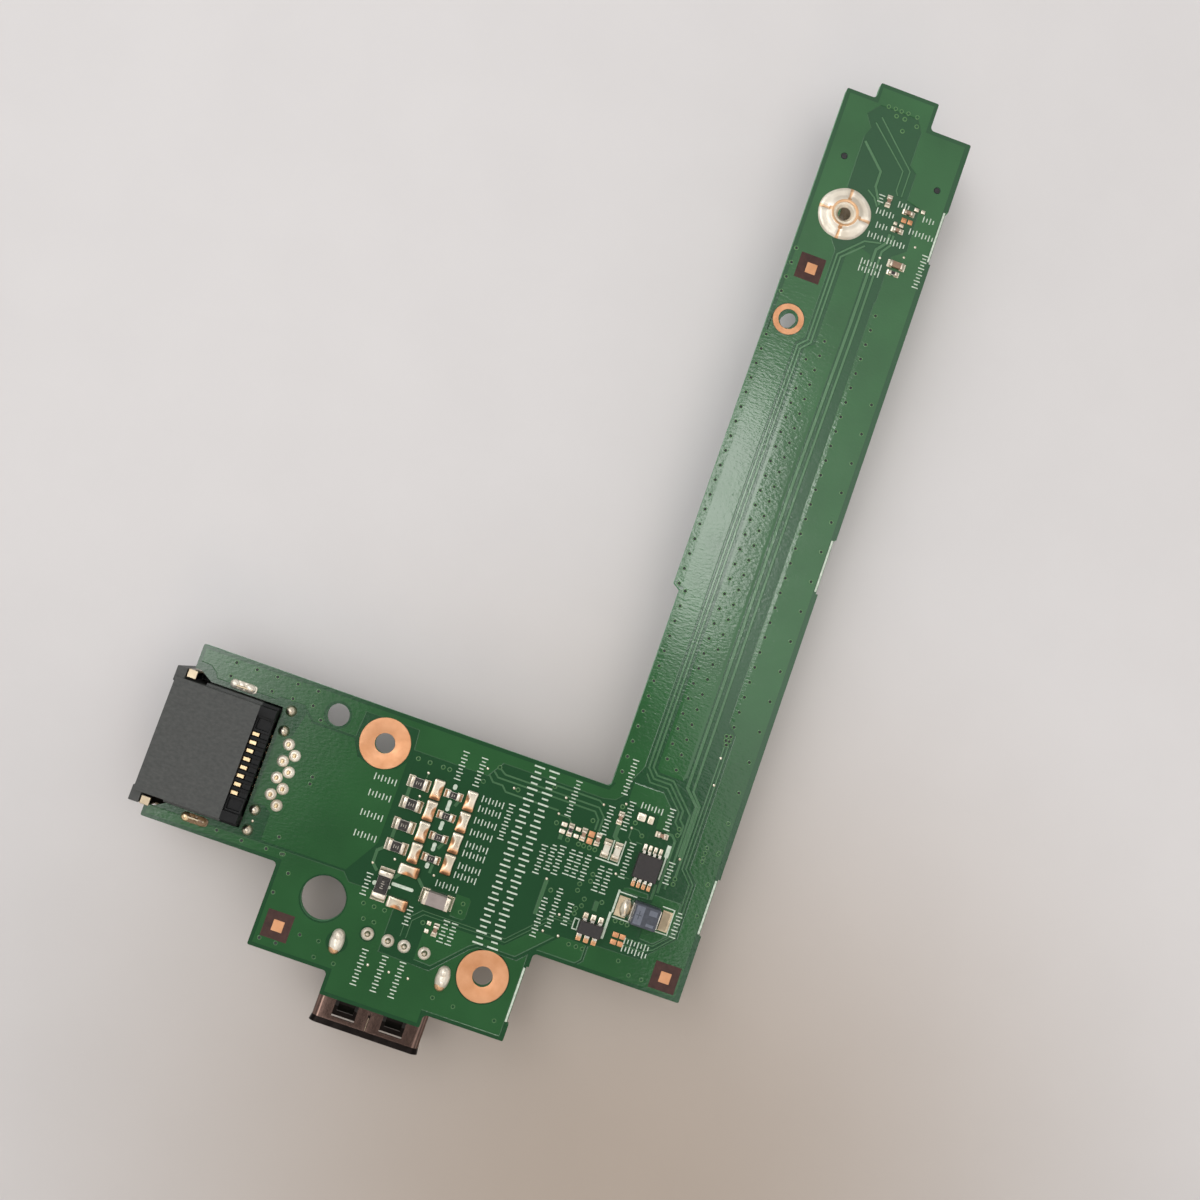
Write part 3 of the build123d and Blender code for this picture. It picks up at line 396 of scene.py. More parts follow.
def settle(own, bm, matrix, material):
    """Move a shape that was made by itself into its place in a piece."""
    bmesh.ops.transform(own, matrix=matrix, verts=own.verts[:])
    for face in own.faces:
        face.material_index = material
    mesh = bpy.data.meshes.new("shape")
    own.to_mesh(mesh)
    own.free()
    bm.from_mesh(mesh)
    bpy.data.meshes.remove(mesh)


def turned(bm, centre, profile, steps=24, material=0, stretch=(1, 1)):
    """Solid turned about an upright axis from a profile of (radius, height). Its underside is filled in: flat where
    the profile meets the axis, and from end to end of the profile where it makes a ring."""
    own = bmesh.new()
    verts = [own.verts.new((radius, 0, height)) for radius, height in profile]
    edges = [own.edges.new(pair) for pair in zip(verts, verts[1:])]
    bmesh.ops.spin(
        own, geom=verts + edges, cent=(0, 0, 0), axis=(0, 0, 1), dvec=(0, 0, 0),
        angle=2 * math.pi, steps=steps, use_merge=True, use_duplicate=False,
    )
    bmesh.ops.remove_doubles(own, verts=own.verts[:], dist=1e-5)
    rims = [edge for edge in own.edges if edge.is_boundary]
    if profile[0][0] and profile[-1][0]:
        bmesh.ops.bridge_loops(own, edges=rims)
    else:
        bmesh.ops.holes_fill(own, edges=rims, sides=0)
    bmesh.ops.recalc_face_normals(own, faces=own.faces[:])
    settle(own, bm, Matrix.Translation((*centre, 0)) @ Matrix.Diagonal((*stretch, 1, 1)), material)


def brick(bm, u, v, z, soft=0.04, material=0, segments=1):
    """Block between two places on each axis, with softened edges."""
    sizes = [abs(r[1] - r[0]) for r in (u, v, z)]
    centre = [(r[0] + r[1]) / 2 for r in (u, v, z)]
    own = bmesh.new()
    bmesh.ops.create_cube(own, size=1, matrix=Matrix.Diagonal((*sizes, 1)))
    if soft:
        bmesh.ops.bevel(
            own, geom=own.edges[:], offset=min(soft, min(sizes) * 0.45), offset_type="OFFSET",
            affect="EDGES", segments=segments, profile=0.5, material=-1, clamp_overlap=True,
        )
    settle(own, bm, Matrix.Translation(centre), material)


def lump(bm, centre, size, turn=0.0, rounds=3, waist=0.0, stain_and_shade=None, dish=None, material=0):
    """Rounded lump of solder on a land: a block divided and smoothed, then brought back to its size. A stain function
    gives the colour of a place on the lump, its stains and its painted shade, and dish gives its hollow, both from -1
    to 1 across and along."""
    own = bmesh.new()
    bmesh.ops.create_cube(own, size=1)
    bmesh.ops.subdivide_edges(own, edges=own.edges[:], cuts=9 if stain_and_shade else 5, use_grid_fill=True)
    for _ in range(rounds):
        bmesh.ops.smooth_vert(
            own, verts=own.verts[:], factor=0.6, use_axis_x=True, use_axis_y=True, use_axis_z=True,
        )
    layer = own.verts.layers.float.new("stain_and_shade")
    reach = [max(abs(vert.co[i]) for vert in own.verts) for i in range(3)]
    for vert in own.verts:
        x, y, z = (vert.co[i] / reach[i] for i in range(3))
        along = 1 - y * y
        vert[layer] = stain_and_shade(x, y) if stain_and_shade else 0.0
        height = z * size[2] * (1 - waist * along) * (1 - (dish(x, y) if dish else 0.0))
        vert.co = (x * (1 - waist * along) * size[0] / 2, y * size[1] / 2, height)
    settle(own, bm, Matrix.Translation((*centre, 0)) @ Matrix.Rotation(turn, 4, "Z"), material)


def prism(bm, profile, width, matrix, material=0):
    """Solid whose side has the given profile of (along, height), as wide as width."""
    own = bmesh.new()
    side = own.faces.new([own.verts.new((along, -width / 2, height)) for along, height in profile])
    grown = bmesh.ops.extrude_face_region(own, geom=[side])["geom"]
    far = [part for part in grown if isinstance(part, bmesh.types.BMVert)]
    bmesh.ops.translate(own, vec=(0, width, 0), verts=far)
    bmesh.ops.recalc_face_normals(own, faces=own.faces[:])
    settle(own, bm, matrix, material)


def span(node):
    """Lowest and highest corner of a CAD node, in millimetres on the board."""
    low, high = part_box(node)
    return low / MM - BOARD_CORNER, high / MM - BOARD_CORNER


def softened(name, node, width_mm, finishes, segments=2, cut_at=None, finish_at=None):
    """Copy of a CAD node with its loose triangles joined and its edges softened. It can be cut across at a place
    along the foot, and finish_at tells which finish a face takes from its middle."""
    bm = bmesh.new()
    bm.from_mesh(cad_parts[node].data)
    bmesh.ops.transform(bm, matrix=BOARD_FRAME.inverted(), verts=bm.verts[:])
    bmesh.ops.remove_doubles(bm, verts=bm.verts[:], dist=0.001)
    bmesh.ops.dissolve_limit(bm, angle_limit=math.radians(2), verts=bm.verts[:], edges=bm.edges[:])
    if cut_at is not None:
        everything = bm.verts[:] + bm.edges[:] + bm.faces[:]
        bmesh.ops.bisect_plane(bm, geom=everything, plane_co=(cut_at, 0, 0), plane_no=(1, 0, 0))
    if finish_at:
        for face in bm.faces:
            face.material_index = finish_at(face.calc_center_median())
    sharp = [
        e for e in bm.edges
        if e.is_manifold and e.calc_face_angle(0) > math.radians(30) and e.calc_length() > 2.5 * width_mm
    ]
    bmesh.ops.bevel(
        bm, geom=sharp, offset=width_mm, offset_type="OFFSET", affect="EDGES",
        segments=segments, profile=0.5, material=-1, clamp_overlap=True,
    )
    return add_piece(name, bm, finishes, (node,), sharp=18)


# ---------------------------------------------------------------- copper and mask

GROUND = [
    (-0.65, 0.45), (-0.65, 110.3), (-5.9, 110.3), (-5.9, 113.8), (-12.7, 113.8), (-12.7, 111.7),
    (-16.4, 111.7), (-16.4, 47.1), (-15.55, 46.6), (-15.55, 22.0), (-16.1, 20.95), (-66.25, 20.95),
    (-66.25, 19.4), (-65.0, 19.3), (-64.2, 18.7), (-63.9, 18.1), (-56.7, 18.1), (-56.2, 18.55),
    (-53.2, 18.55), (-51.6, 17.1), (-46.4, 17.1), (-46.2, 20.2), (-39.6, 20.2), (-39.4, 17.8),
    (-30.2, 17.8), (-28.9, 19.8), (-16.4, 19.8), (-15.0, 20.1), (-14.1, 21.0), (-13.9, 22.9),
    (-12.95, 24.9), (-12.75, 79.7), (-11.75, 80.7), (-11.75, 92.3), (-12.6, 93.4), (-12.9, 100.4),
    (-12.95, 107.2), (-12.5, 108.4), (-13.6, 110.0), (-12.3, 111.6), (-7.3, 111.6), (-6.35, 110.0),
    (-6.35, 105.6), (-5.3, 104.9), (-5.3, 101.3), (-3.5, 100.9), (-3.3, 95.2), (-4.9, 93.9), (-4.9, 88.2),
    (-5.05, 87.6), (-5.05, 33.2), (-3.85, 32.0), (-3.85, 15.2), (-2.6, 13.9), (-2.6, 7.0), (-4.75, 4.8),
    (-6.0, 3.3), (-11.8, 3.2), (-12.35, 2.8), (-12.35, 1.0), (-12.9, 0.45),
]
MIDDLE = [
    (-11.45, 25.3), (-10.9, 24.85), (-8.1, 24.85), (-7.7, 25.4), (-7.7, 64.0), (-7.4, 84.0), (-7.4, 93.2),
    (-8.6, 93.6), (-9.9, 93.2), (-10.3, 92.4), (-10.3, 80.3), (-11.4, 79.4),
]
FOOT_LEFT = [
    (-55.1, 6.0), (-55.1, 14.2), (-53.4, 14.6), (-53.0, 16.3), (-52.7, 17.7), (-51.7, 16.8), (-46.5, 16.8),
    (-45.4, 14.9), (-42.9, 14.15), (-40.6, 15.0), (-39.7, 16.2), (-39.7, 6.2), (-40.4, 5.0), (-42.2, 2.1),
    (-52.6, 2.1), (-52.7, 5.4), (-53.6, 6.0),
]
NOSE = [
    (-66.25, 0.75), (-66.25, 1.75), (-42.3, 1.8), (-41.4, 0.85), (-35.4, 0.85), (-35.4, -5.6),
    (-29.1, -5.85), (-25.4, -2.0), (-24.6, -1.45), (-19.8, -1.45), (-18.75, -0.4), (-18.75, -10.3),
    (-28.35, -10.3), (-28.35, -11.9), (-39.75, -11.9), (-39.75, -9.2), (-49.55, -9.2), (-49.55, 0.75),
]
PINS_RIGHT = [
    (-31.2, -5.2), (-31.2, -0.5), (-30.9, -0.25), (-21.8, -0.25), (-18.9, 2.6), (-16.4, 2.6), (-20.1, -1.1),
    (-24.7, -1.1), (-25.6, -1.7), (-29.1, -5.3),
]
FOOT_STRIP = [(-12.6, 1.1), (-12.6, 2.9), (-15.7, 2.9), (-18.0, 0.6), (-18.0, 0.45), (-13.2, 0.45)]
SUPPLY = [
    (-13.5, 20.6), (-13.5, 22.8), (-9.75, 22.8), (-8.0, 21.05), (-8.0, 18.5), (-9.3, 18.5), (-9.4, 20.0),
    (-12.2, 20.2),
]
TANK_LAND = [(-6.9, 10.3), (-6.9, 11.1), (-3.5, 11.1), (-3.5, 7.2), (-5.2, 5.5), (-6.9, 5.6)]
SURGE_LAND = [(-29.0, 0.9), (-29.0, 3.6), (-27.4, 3.6), (-27.1, 3.3), (-27.1, 1.2), (-27.4, 0.9)]
TANK_LEFT_LAND = [(-10.6, 10.25), (-10.6, 10.7), (-9.9, 10.9), (-7.6, 10.9), (-7.4, 10.25)]

# Traces: width and the line that they follow. Those of the arm come as two bundles.
TRACES = [
    (0.24, [(-12.5, 24.3), (-11.75, 23.4), (-9.55, 23.4), (-7.35, 21.2), (-7.35, 19.9), (-6.7, 19.3)]),
    (0.27, [(-6.6, 95.1), (-8.7, 94.6), (-11.35, 91.9), (-11.35, 80.5), (-12.3, 79.5), (-12.45, 60.0),
            (-12.45, 25.0), (-11.5, 23.95), (-9.35, 23.95), (-6.9, 21.5), (-6.9, 20.4), (-6.3, 19.8),
            (-6.3, 18.8), (-6.6, 18.5)]),
    (0.27, [(-8.4, 94.1), (-10.85, 91.7), (-10.85, 80.3), (-11.85, 79.2), (-11.95, 60.0), (-11.95, 25.2),
            (-11.2, 24.45), (-9.15, 24.45), (-5.95, 21.25), (-5.95, 17.6), (-5.95, 12.0)]),
    (0.4, [(-6.0, 96.6), (-6.0, 95.4), (-7.0, 94.1), (-7.0, 84.0), (-7.3, 64.0), (-7.3, 24.2),
            (-5.55, 22.45), (-5.55, 16.1)]),
    (0.32, [(-5.5, 96.6), (-5.5, 95.2), (-6.25, 94.1), (-6.25, 84.0), (-6.5, 64.0), (-6.5, 24.0),
            (-5.2, 22.6), (-5.2, 13.7)]),
    (0.2, [(-4.75, 30.4), (-4.75, 14.95), (-3.35, 13.5), (-3.35, 7.15), (-5.15, 5.3), (-6.6, 5.15),
            (-8.4, 5.15)]),
    (0.2, [(-4.3, 30.6), (-4.3, 15.1), (-2.95, 13.65), (-2.95, 7.0), (-4.95, 4.9), (-6.2, 4.3),
            (-8.4, 4.3)]),
    (0.25, [(-22.2, 19.4), (-16.7, 19.4), (-16.2, 19.1)]),
    (0.25, [(-29.1, 19.1), (-28.3, 18.6), (-16.5, 18.6), (-15.6, 17.7), (-15.6, 15.9)]),
    (0.25, [(-29.7, 18.6), (-29.0, 18.0), (-16.8, 18.0), (-16.1, 17.2), (-16.1, 15.9)]),
    (0.25, [(-30.1, 18.0), (-29.4, 17.3), (-28.2, 17.3), (-27.6, 16.7), (-20.9, 16.7)]),
    (0.2, [(-20.8, 16.3), (-19.5, 16.3), (-18.8, 15.6)]),
    (0.14, [(-33.6, -3.2), (-33.6, -1.0), (-32.1, 0.5), (-21.9, 0.5), (-17.5, 4.95), (-14.9, 4.95)]),
    (0.14, [(-32.9, -3.2), (-32.9, -1.0), (-31.75, 0.12), (-21.75, 0.12), (-17.2, 4.62), (-14.9, 4.62)]),
    (0.5, [(-19.55, 8.7), (-19.55, 4.3)]),
    (0.5, [(-19.7, 14.2), (-19.7, 13.5)]),
    (0.55, [(-13.6, 17.7), (-13.6, 16.0), (-13.0, 15.5)]),
    (0.6, [(-13.05, 8.2), (-13.05, 6.9)]),
    (0.16, [(-12.0, 17.6), (-11.2, 17.6), (-10.7, 17.1)]),
    (0.16, [(-12.0, 17.4), (-12.0, 16.4), (-11.3, 15.8)]),
    (0.16, [(-12.0, 11.85), (-10.3, 11.85)]),
    (0.16, [(-11.0, 16.2), (-10.2, 16.2)]),
    (0.35, [(-8.0, 18.35), (-7.2, 18.35), (-6.65, 17.8), (-6.65, 11.3)]),
    (0.35, [(-7.1, 12.3), (-7.1, 10.3)]),
    (0.35, [(-12.7, 106.6), (-9.6, 103.6), (-9.6, 101.6), (-8.4, 99.5)]),
    (0.2, [(-12.2, 109.3), (-7.0, 104.6), (-7.0, 102.0), (-6.6, 101.4)]),
    (0.2, [(-11.7, 110.2), (-6.15, 104.9), (-6.15, 101.4)]),
    (0.25, [(-10.4, 100.9), (-9.3, 100.2), (-8.6, 99.2)]),
    (0.14, [(-36.9, 15.7), (-36.9, 15.1)]),
    (0.14, [(-36.95, 12.9), (-36.95, 12.3)]),
    (0.45, [(-38.4, 12.3), (-38.4, 13.6)]),
    (0.45, [(-38.4, 7.3), (-38.4, 8.5)]),
    (0.4, [(-38.7, 6.1), (-39.5, 5.4), (-39.5, 3.9), (-38.7, 3.1)]),
    (0.4, [(-32.7, 13.1), (-32.4, 13.9)]),
    (0.4, [(-32.9, 7.8), (-32.4, 8.8)]),
    (0.35, [(-32.85, 4.8), (-32.8, 6.0)]),
    (0.4, [(-36.0, 3.7), (-36.6, 2.9)]),
    (0.4, [(-33.9, 3.9), (-33.0, 3.0)]),
]

# Places where the film rises from an edge: left edge, both ends, width, height at the left and the right.
FILM_BANKS = [
    (-16.95, 47.3, 80.0, 1.05, 0.022, 0.046), (-15.95, 22.0, 46.4, 0.8, 0.026, 0.044),
    (-5.05, 33.3, 87.6, 0.5, 0.032, 0.041),
]

# Stretches of the outlines along which the film stands up as a thin bead.
BEADS = (GROUND[12:37], GROUND[37:], NOSE[1:13])

# Copper rings: centre, outer radius and, at the screw holes, inner radius.
SCREW_RINGS = [(-42.9, 17.4, 3.05, 1.2), (-22.9, -4.45, 3.1, 1.2)]
SLOT_RING = (-14.4, 82.1, 1.95)


# Rows of stitching vias along the arm: place across, first place, limit of the last one, and pitch.
VIA_ROWS = [
    (-16.35, 47.0, 80.0, 1.905), (-16.35, 85.1, 90.9, 1.905), (-15.35, 23.5, 46.4, 1.905),
    (-10.75, 26.7, 78.3, 1.905), (-9.3, 25.8, 81.2, 1.905), (-4.4, 32.9, 86.4, 1.905),
    (-1.3, 10.35, 76.0, 3.84),
]
LONE_VIAS = [
    (-62.5, 18.85), (-57.4, 18.75), (-54.8, 18.75), (-52.3, 18.75), (-57.8, 1.5), (-54.7, 1.3),
    (-51.7, 1.35), (-49.8, 1.35), (-50.9, 17.45), (-49.5, 10.9), (-49.5, 10.05), (-50.75, 3.1),
    (-49.2, -3.1), (-48.3, -0.5), (-49.6, 1.4), (-38.6, 17.0), (-37.15, 17.0), (-35.5, 17.0), (-34.7, 17.0),
    (-30.5, 17.0), (-27.9, 2.75), (-27.9, 1.75), (-48.9, -8.5), (-46.9, -8.5), (-44.6, -6.7), (-42.3, -6.7),
    (-42.2, -8.6), (-39.8, -8.6), (-27.6, -8.6), (-25.0, -8.8), (-19.9, -8.8), (-38.3, -2.6), (-37.0, -2.6),
    (-38.9, -0.9), (-37.6, -0.9), (-36.3, -0.9), (-31.6, -0.8), (-29.2, 19.2), (-26.3, 17.4), (-22.3, 19.2),
    (-20.7, 15.25), (-18.8, 13.8), (-17.4, 13.75), (-16.75, 13.75), (-16.05, 13.75), (-15.35, 13.75),
    (-16.7, 16.9), (-18.7, 7.6), (-15.7, 8.6), (-14.6, 7.9), (-14.65, 7.05), (-15.2, 6.55), (-15.15, 5.95),
    (-12.5, 8.2), (-15.7, 9.4), (-14.6, 10.95), (-14.6, 10.1), (-6.65, 19.3), (-6.6, 18.55), (-2.8, 18.3),
    (-2.8, 17.65), (-2.8, 17.05), (-2.8, 16.6), (-5.2, 13.6), (-5.2, 12.95), (-10.6, 17.1), (-13.9, 19.6),
    (-10.3, 6.7), (-9.5, 6.75), (-8.8, 6.7), (-14.6, 2.35), (-13.7, 2.35), (-12.9, 2.35), (-8.4, 2.4),
    (-6.7, 1.2), (-5.1, 1.2), (-1.25, 18.2), (-1.25, 14.3), (-4.9, 31.6), (-4.4, 31.7), (-4.8, 31.1),
    (-4.4, 31.1), (-4.6, 30.6), (-11.85, 18.3), (-11.3, 111.75), (-10.4, 111.8), (-9.6, 111.75),
    (-8.7, 111.8), (-7.5, 111.75), (-10.0, 110.95), (-8.9, 110.95), (-8.7, 109.4), (-7.2, 110.6),
]


def via_places():
    """Stitching vias along the arm, and those of the foot and the tip."""
    rows = [
        (u, low + i * pitch) for u, low, high, pitch in VIA_ROWS for i in range(int((high - low) / pitch) + 1)
    ]
    return rows + [(-62.4 + i * 2.525, 20.55) for i in range(5)] + LONE_VIAS


def make_copper():
    """Pours and traces under the mask, the rings and lands left bare, and the alignment marks."""
    bm = bmesh.new()
    screw = [(u, v, r + 0.15) for u, v, r, _ in SCREW_RINGS]
    peg_holes = [(-49.2, 18.7, 1.65), (-14.5, 103.85, 0.45), (-2.2, 103.85, 0.45), (-14.4, 82.1, 2.05)]
    nose_holes = [(-43.5, -1.9, 2.85), screw[1], (-37.25, -4.1, 0.95), (-40.3, -6.1, 1.3)]
    sheet(bm, GROUND, COPPER, peg_holes)
    sheet(bm, NOSE, COPPER, nose_holes)
    sheet(bm, MIDDLE, COPPER, shoulder=0.35, droop=0.01)
    sheet(bm, FOOT_LEFT, COPPER)
    for u, v0, v1, width, low, high in FILM_BANKS:
        bank = [(-width / 2, SUNK), (width / 2, SUNK), (width / 2, high), (-width / 2, low)]
        prism(bm, bank, v1 - v0, Matrix.Translation((u + width / 2, (v0 + v1) / 2, 0)))
    for outline in (PINS_RIGHT, FOOT_STRIP, SUPPLY, TANK_LAND, SURGE_LAND, TANK_LEFT_LAND):
        sheet(bm, outline, COPPER, shoulder=0.12, droop=0.008)
    add_piece("copper_pour", bm, [MASK_COPPER], sharp=1)

    bm = bmesh.new()
    for i, line in enumerate(BEADS):
        strip(bm, line, 0.03, COPPER + 0.012 + 0.001 * i)
    # The beads' sides take the same painted shade as the trace sides.
    add_piece("pour_edges", bm, [MASK_SLOPE_SHADE, MASK_COPPER], sharp=1)

    bm = bmesh.new()
    for i, (width, line) in enumerate(TRACES):
        strip(bm, line, width, COPPER + 0.0002 * i)
    add_piece("traces", bm, [MASK_TRACE, MASK_SLOPE_SHADE], sharp=1)

    bm = bmesh.new()
    for u, v in via_places():
        turned(bm, (u, v), [(0.3, 0.0), (0.26, 0.042), (0.19, 0.052), (0.17, 0.045)], 12)
        # Where the holes read dark, their middles take that painted shade; elsewhere they are bare mask.
        dark = 22 < v < 98 or u < -44
        inner = 0.18 if dark else 0.15
        turned(bm, (u, v), [(inner, 0.0), (inner, 0.049), (0.0, 0.046)], 10, 1 if dark else 2)
    add_piece("vias", bm, [MASK_RING, VIA_HOLE_SHADE, MASK_BARE])

    bm = bmesh.new()
    for u, v, outer, inner in SCREW_RINGS:
        ring = [
            (inner, -0.6), (inner, PLATED - 0.01), (inner + 0.03, PLATED), (outer - 0.04, PLATED), (outer, 0.0),
        ]
        turned(bm, (u, v), ring, 64)
    u, v, outer = SLOT_RING
    turned(bm, (u, v), [(1.24, 0.0), (1.24, PLATED), (outer - 0.04, PLATED), (outer, 0.0)], 48)
    for u, v in ((-47.35, -6.6), (-2.5, 2.3), (-13.8, 89.0)):
        brick(bm, (u - 0.66, u + 0.66), (v - 0.66, v + 0.66), (SUNK, 0.06), 0.02)
    for u, v, w, h in (
        (-9.7, 5.17, 0.75, 0.6), (-8.85, 5.17, 0.7, 0.6), (-9.7, 4.3, 0.75, 0.6), (-8.85, 4.3, 0.7, 0.6),
        (-16.3, 15.35, 0.75, 0.7), (-16.3, 14.5, 0.7, 0.7), (-4.9, 98.8, 0.65, 0.62), (-4.1, 98.8, 0.6, 0.62),
    ):
        brick(bm, (u - w / 2, u + w / 2), (v - h / 2, v + h / 2), (SUNK, 0.07), 0.05, segments=2)
    add_piece("bare_copper", bm, [BARE_COPPER])

    bm = bmesh.new()
    for u, v in ((-47.4, -6.6), (-2.52, 2.3), (-13.95, 89.0)):
        brick(bm, (u - 1.6, u + 1.6), (v - 1.6, v + 1.65), (SUNK, 0.038), 0.0)
    add_piece("mark_windows", bm, [BARE_RESIN])


def make_far_copper():
    """Mask over copper on the far face, pulled back from the edge."""
    bm = bmesh.new()
    outline = [
        (-0.65, 0.45), (-0.65, 110.3), (-5.9, 110.3), (-5.9, 113.8), (-12.7, 113.8), (-12.7, 111.7),
        (-16.4, 111.7), (-16.4, 47.1), (-15.55, 46.6), (-15.55, 20.95), (-66.25, 20.95), (-66.25, 19.6),
        (-63.6, 18.9), (-55.0, 18.4), (-50.6, 14.0), (-50.6, 3.0), (-55.0, 1.4), (-60.0, 0.75),
        (-49.55, 0.75), (-49.55, -9.2), (-39.75, -9.2), (-39.75, -11.9), (-28.35, -11.9), (-28.35, -10.3),
        (-18.75, -10.3), (-18.75, 0.45),
    ]
    bottom = FAR_FACE - COPPER
    holes = [
        (-49.2, 18.7, 1.6), (-42.9, 17.4, 1.6), (-22.9, -4.45, 1.6), (-43.5, -1.9, 2.85), (-14.35, 82.1, 1.5),
        (-12.15, 96.95, 2.2),
    ]
    sheet(bm, outline, FAR_FACE + 0.01, holes=holes, bottom=bottom)
    add_piece("far_copper_pour", bm, [MASK_COPPER])


def ticks(bm, u, v, count, height, pitch, stroke, along_u=True):
    """Plain scale of short bars, every other one shorter."""
    w = stroke / 2
    for i in range(count):
        along = (i - (count - 1) / 2) * pitch
        tall = height if i % 2 == 0 else height * 0.62
        if along_u:
            brick(bm, (u + along - w, u + along + w), (v - tall / 2, v + tall / 2), (SUNK, INK), 0)
        else:
            brick(bm, (u - tall / 2, u + tall / 2), (v + along - w, v + along + w), (SUNK, INK), 0)


def make_legend():
    """Printed ink: edge stripes, frames of parts, short bars, and plain scales of ticks."""
    bm = bmesh.new()
    bars = [
        (-0.55, -0.3, 8.4, 15.0), (-0.55, -0.3, 51.6, 58.2), (-0.55, -0.3, 94.9, 101.5),
        (-18.72, -18.46, -8.5, -1.9), (-7.12, -6.92, 12.85, 15.6), (-7.3, -6.8, 15.6, 17.1),
        (-14.95, -14.8, 4.15, 5.55), (-14.4, -14.25, 4.15, 5.55), (-14.8, -14.4, 5.4, 5.55),
        (-14.8, -14.4, 4.15, 4.3), (-11.3, -10.98, 4.2, 7.5), (-11.1, -10.85, 7.5, 10.3),
        (-10.85, -8.7, 10.02, 10.17), (-10.85, -8.7, 6.98, 7.13), (-5.5, -4.05, 10.02, 10.17),
        (-5.5, -4.05, 6.98, 7.13), (-4.05, -3.9, 6.98, 10.17), (-13.55, -13.38, 13.1, 15.6),
        (-12.25, -12.08, 13.0, 15.9), (-15.0, -12.08, 12.83, 13.0),
    ]
    for u0, u1, v0, v1 in bars:
        brick(bm, (u0, u1), (v0, v1), (SUNK, INK), 0.03)
    dots = [(-38.5, 1.75, 0.27), (-36.72, 1.75, 0.2)]
    for v0, v1 in ((14.95, 15.6), (12.3, 13.65), (9.95, 11.05), (7.35, 8.4), (5.25, 5.95)):
        brick(bm, (-33.61, -33.17), (v0 + 0.2, v1 - 0.2), (SUNK, INK), 0)
        dots += [(-33.39, v0 + 0.24, 0.25), (-33.39, v1 - 0.24, 0.25)]
    brick(bm, (-36.4, -34.1), (2.1, 2.5), (SUNK, INK), 0)
    dots += [(-36.4, 2.3, 0.2), (-34.1, 2.3, 0.2)]
    for u, v, r in dots:
        turned(bm, (u, v), [(r, 0.0), (r, INK - 0.006), (0.0, INK - 0.003)], 20)
    for u, v, count, along in (
        (-41.4, 13.45, 7, True), (-41.4, 11.45, 7, True), (-41.5, 9.0, 7, True), (-41.4, 6.5, 7, True),
        (-39.35, 1.3, 7, False), (-28.6, 15.05, 7, True), (-28.6, 13.85, 7, True), (-28.6, 12.4, 7, True),
        (-28.6, 10.95, 7, True), (-28.6, 9.45, 7, True), (-28.6, 8.35, 7, True), (-28.6, 6.8, 7, True),
        (-28.7, 5.65, 7, True), (-30.4, 4.05, 7, True), (-33.5, -0.6, 6, False), (-29.0, -1.0, 7, False),
        (-28.0, -1.0, 7, False), (-33.5, 17.9, 9, False), (-31.2, 17.9, 9, False),
        (-26.35, 13.4, 11, False), (-36.85, -8.0, 11, False), (-34.4, -8.0, 11, False),
        (-32.2, -8.0, 11, False), (-21.1, 10.6, 9, False), (-20.0, 11.2, 8, False), (-19.0, 11.2, 9, False),
        (-17.7, 11.4, 8, False), (-16.8, 11.4, 8, False), (-15.75, 11.4, 8, False),
        (-18.95, 4.2, 12, False), (-17.6, 5.8, 12, False), (-15.9, 5.6, 7, False), (-13.85, 10.7, 8, False),
        (-12.85, 10.7, 8, False), (-15.05, 17.5, 9, False), (-19.75, 18.6, 11, False),
        (-14.2, 23.2, 11, False), (-12.9, 18.8, 9, False), (-11.3, 13.8, 11, False), (-6.1, 14.0, 7, False),
        (-10.5, 20.55, 7, True), (-8.1, 20.0, 7, False), (-3.25, 8.5, 8, False), (-7.0, 4.85, 8, True),
        (-7.0, 3.95, 8, True), (-2.0, 99.8, 4, True), (-5.5, 100.5, 4, True), (-7.4, 98.8, 6, True),
        (-2.3, 97.75, 8, True), (-7.3, 97.1, 4, True), (-6.2, 95.65, 12, True), (-7.0, 92.15, 7, True),
        (-7.0, 91.25, 7, True), (-0.95, 93.4, 11, False), (-8.45, 100.4, 3, False),
    ):
        ticks(bm, u, v, count, 0.8, 0.42, 0.13, along)
    for u in (-24.75, -22.9):
        ticks(bm, u, 9.9, 33, 1.3, 0.68, 0.2, False)
    add_piece("legend", bm, [LEGEND_INK])


# ---------------------------------------------------------------- solder

# Profiles of solder joints, as (radius, height) from the axis outwards.
PIN_RING = [(0.0, 0.3), (0.2, 0.31), (0.34, 0.36), (0.48, 0.33), (0.62, 0.2), (0.71, 0.06), (0.73, -0.01)]
PIN_DOME = [(0.0, 0.78), (0.16, 0.76), (0.36, 0.62), (0.54, 0.34), (0.66, 0.1), (0.68, -0.01)]
PIN_FOOT = [(0.0, 0.4), (0.3, 0.4), (0.46, 0.34), (0.6, 0.22), (0.72, 0.07), (0.77, -0.01)]
PIN_PEAK = [(0.0, 0.9), (0.1, 0.87), (0.2, 0.76), (0.3, 0.58), (0.38, 0.34)]
TAB_DOME = [(0.0, 0.66), (0.28, 0.64), (0.52, 0.52), (0.7, 0.32), (0.81, 0.12), (0.84, -0.08)]
COLLAR = [
    (1.4, -0.01), (1.4, 0.44), (1.7, 0.5), (1.82, 0.46), (2.05, 0.28), (2.4, 0.22), (2.8, 0.27), (3.08, 0.22),
    (3.24, 0.1), (3.3, -0.01),
]
SPOKE_HALF = 0.34


def by_spokes(place):
    """Angle and distance of a place from the standoff's axis, and its distance from the nearest of four spokes."""
    angle, radius = math.atan2(place.y, place.x), math.hypot(place.x, place.y)
    return angle, radius, abs((angle + math.pi / 4) % (math.pi / 2) - math.pi / 4) * radius


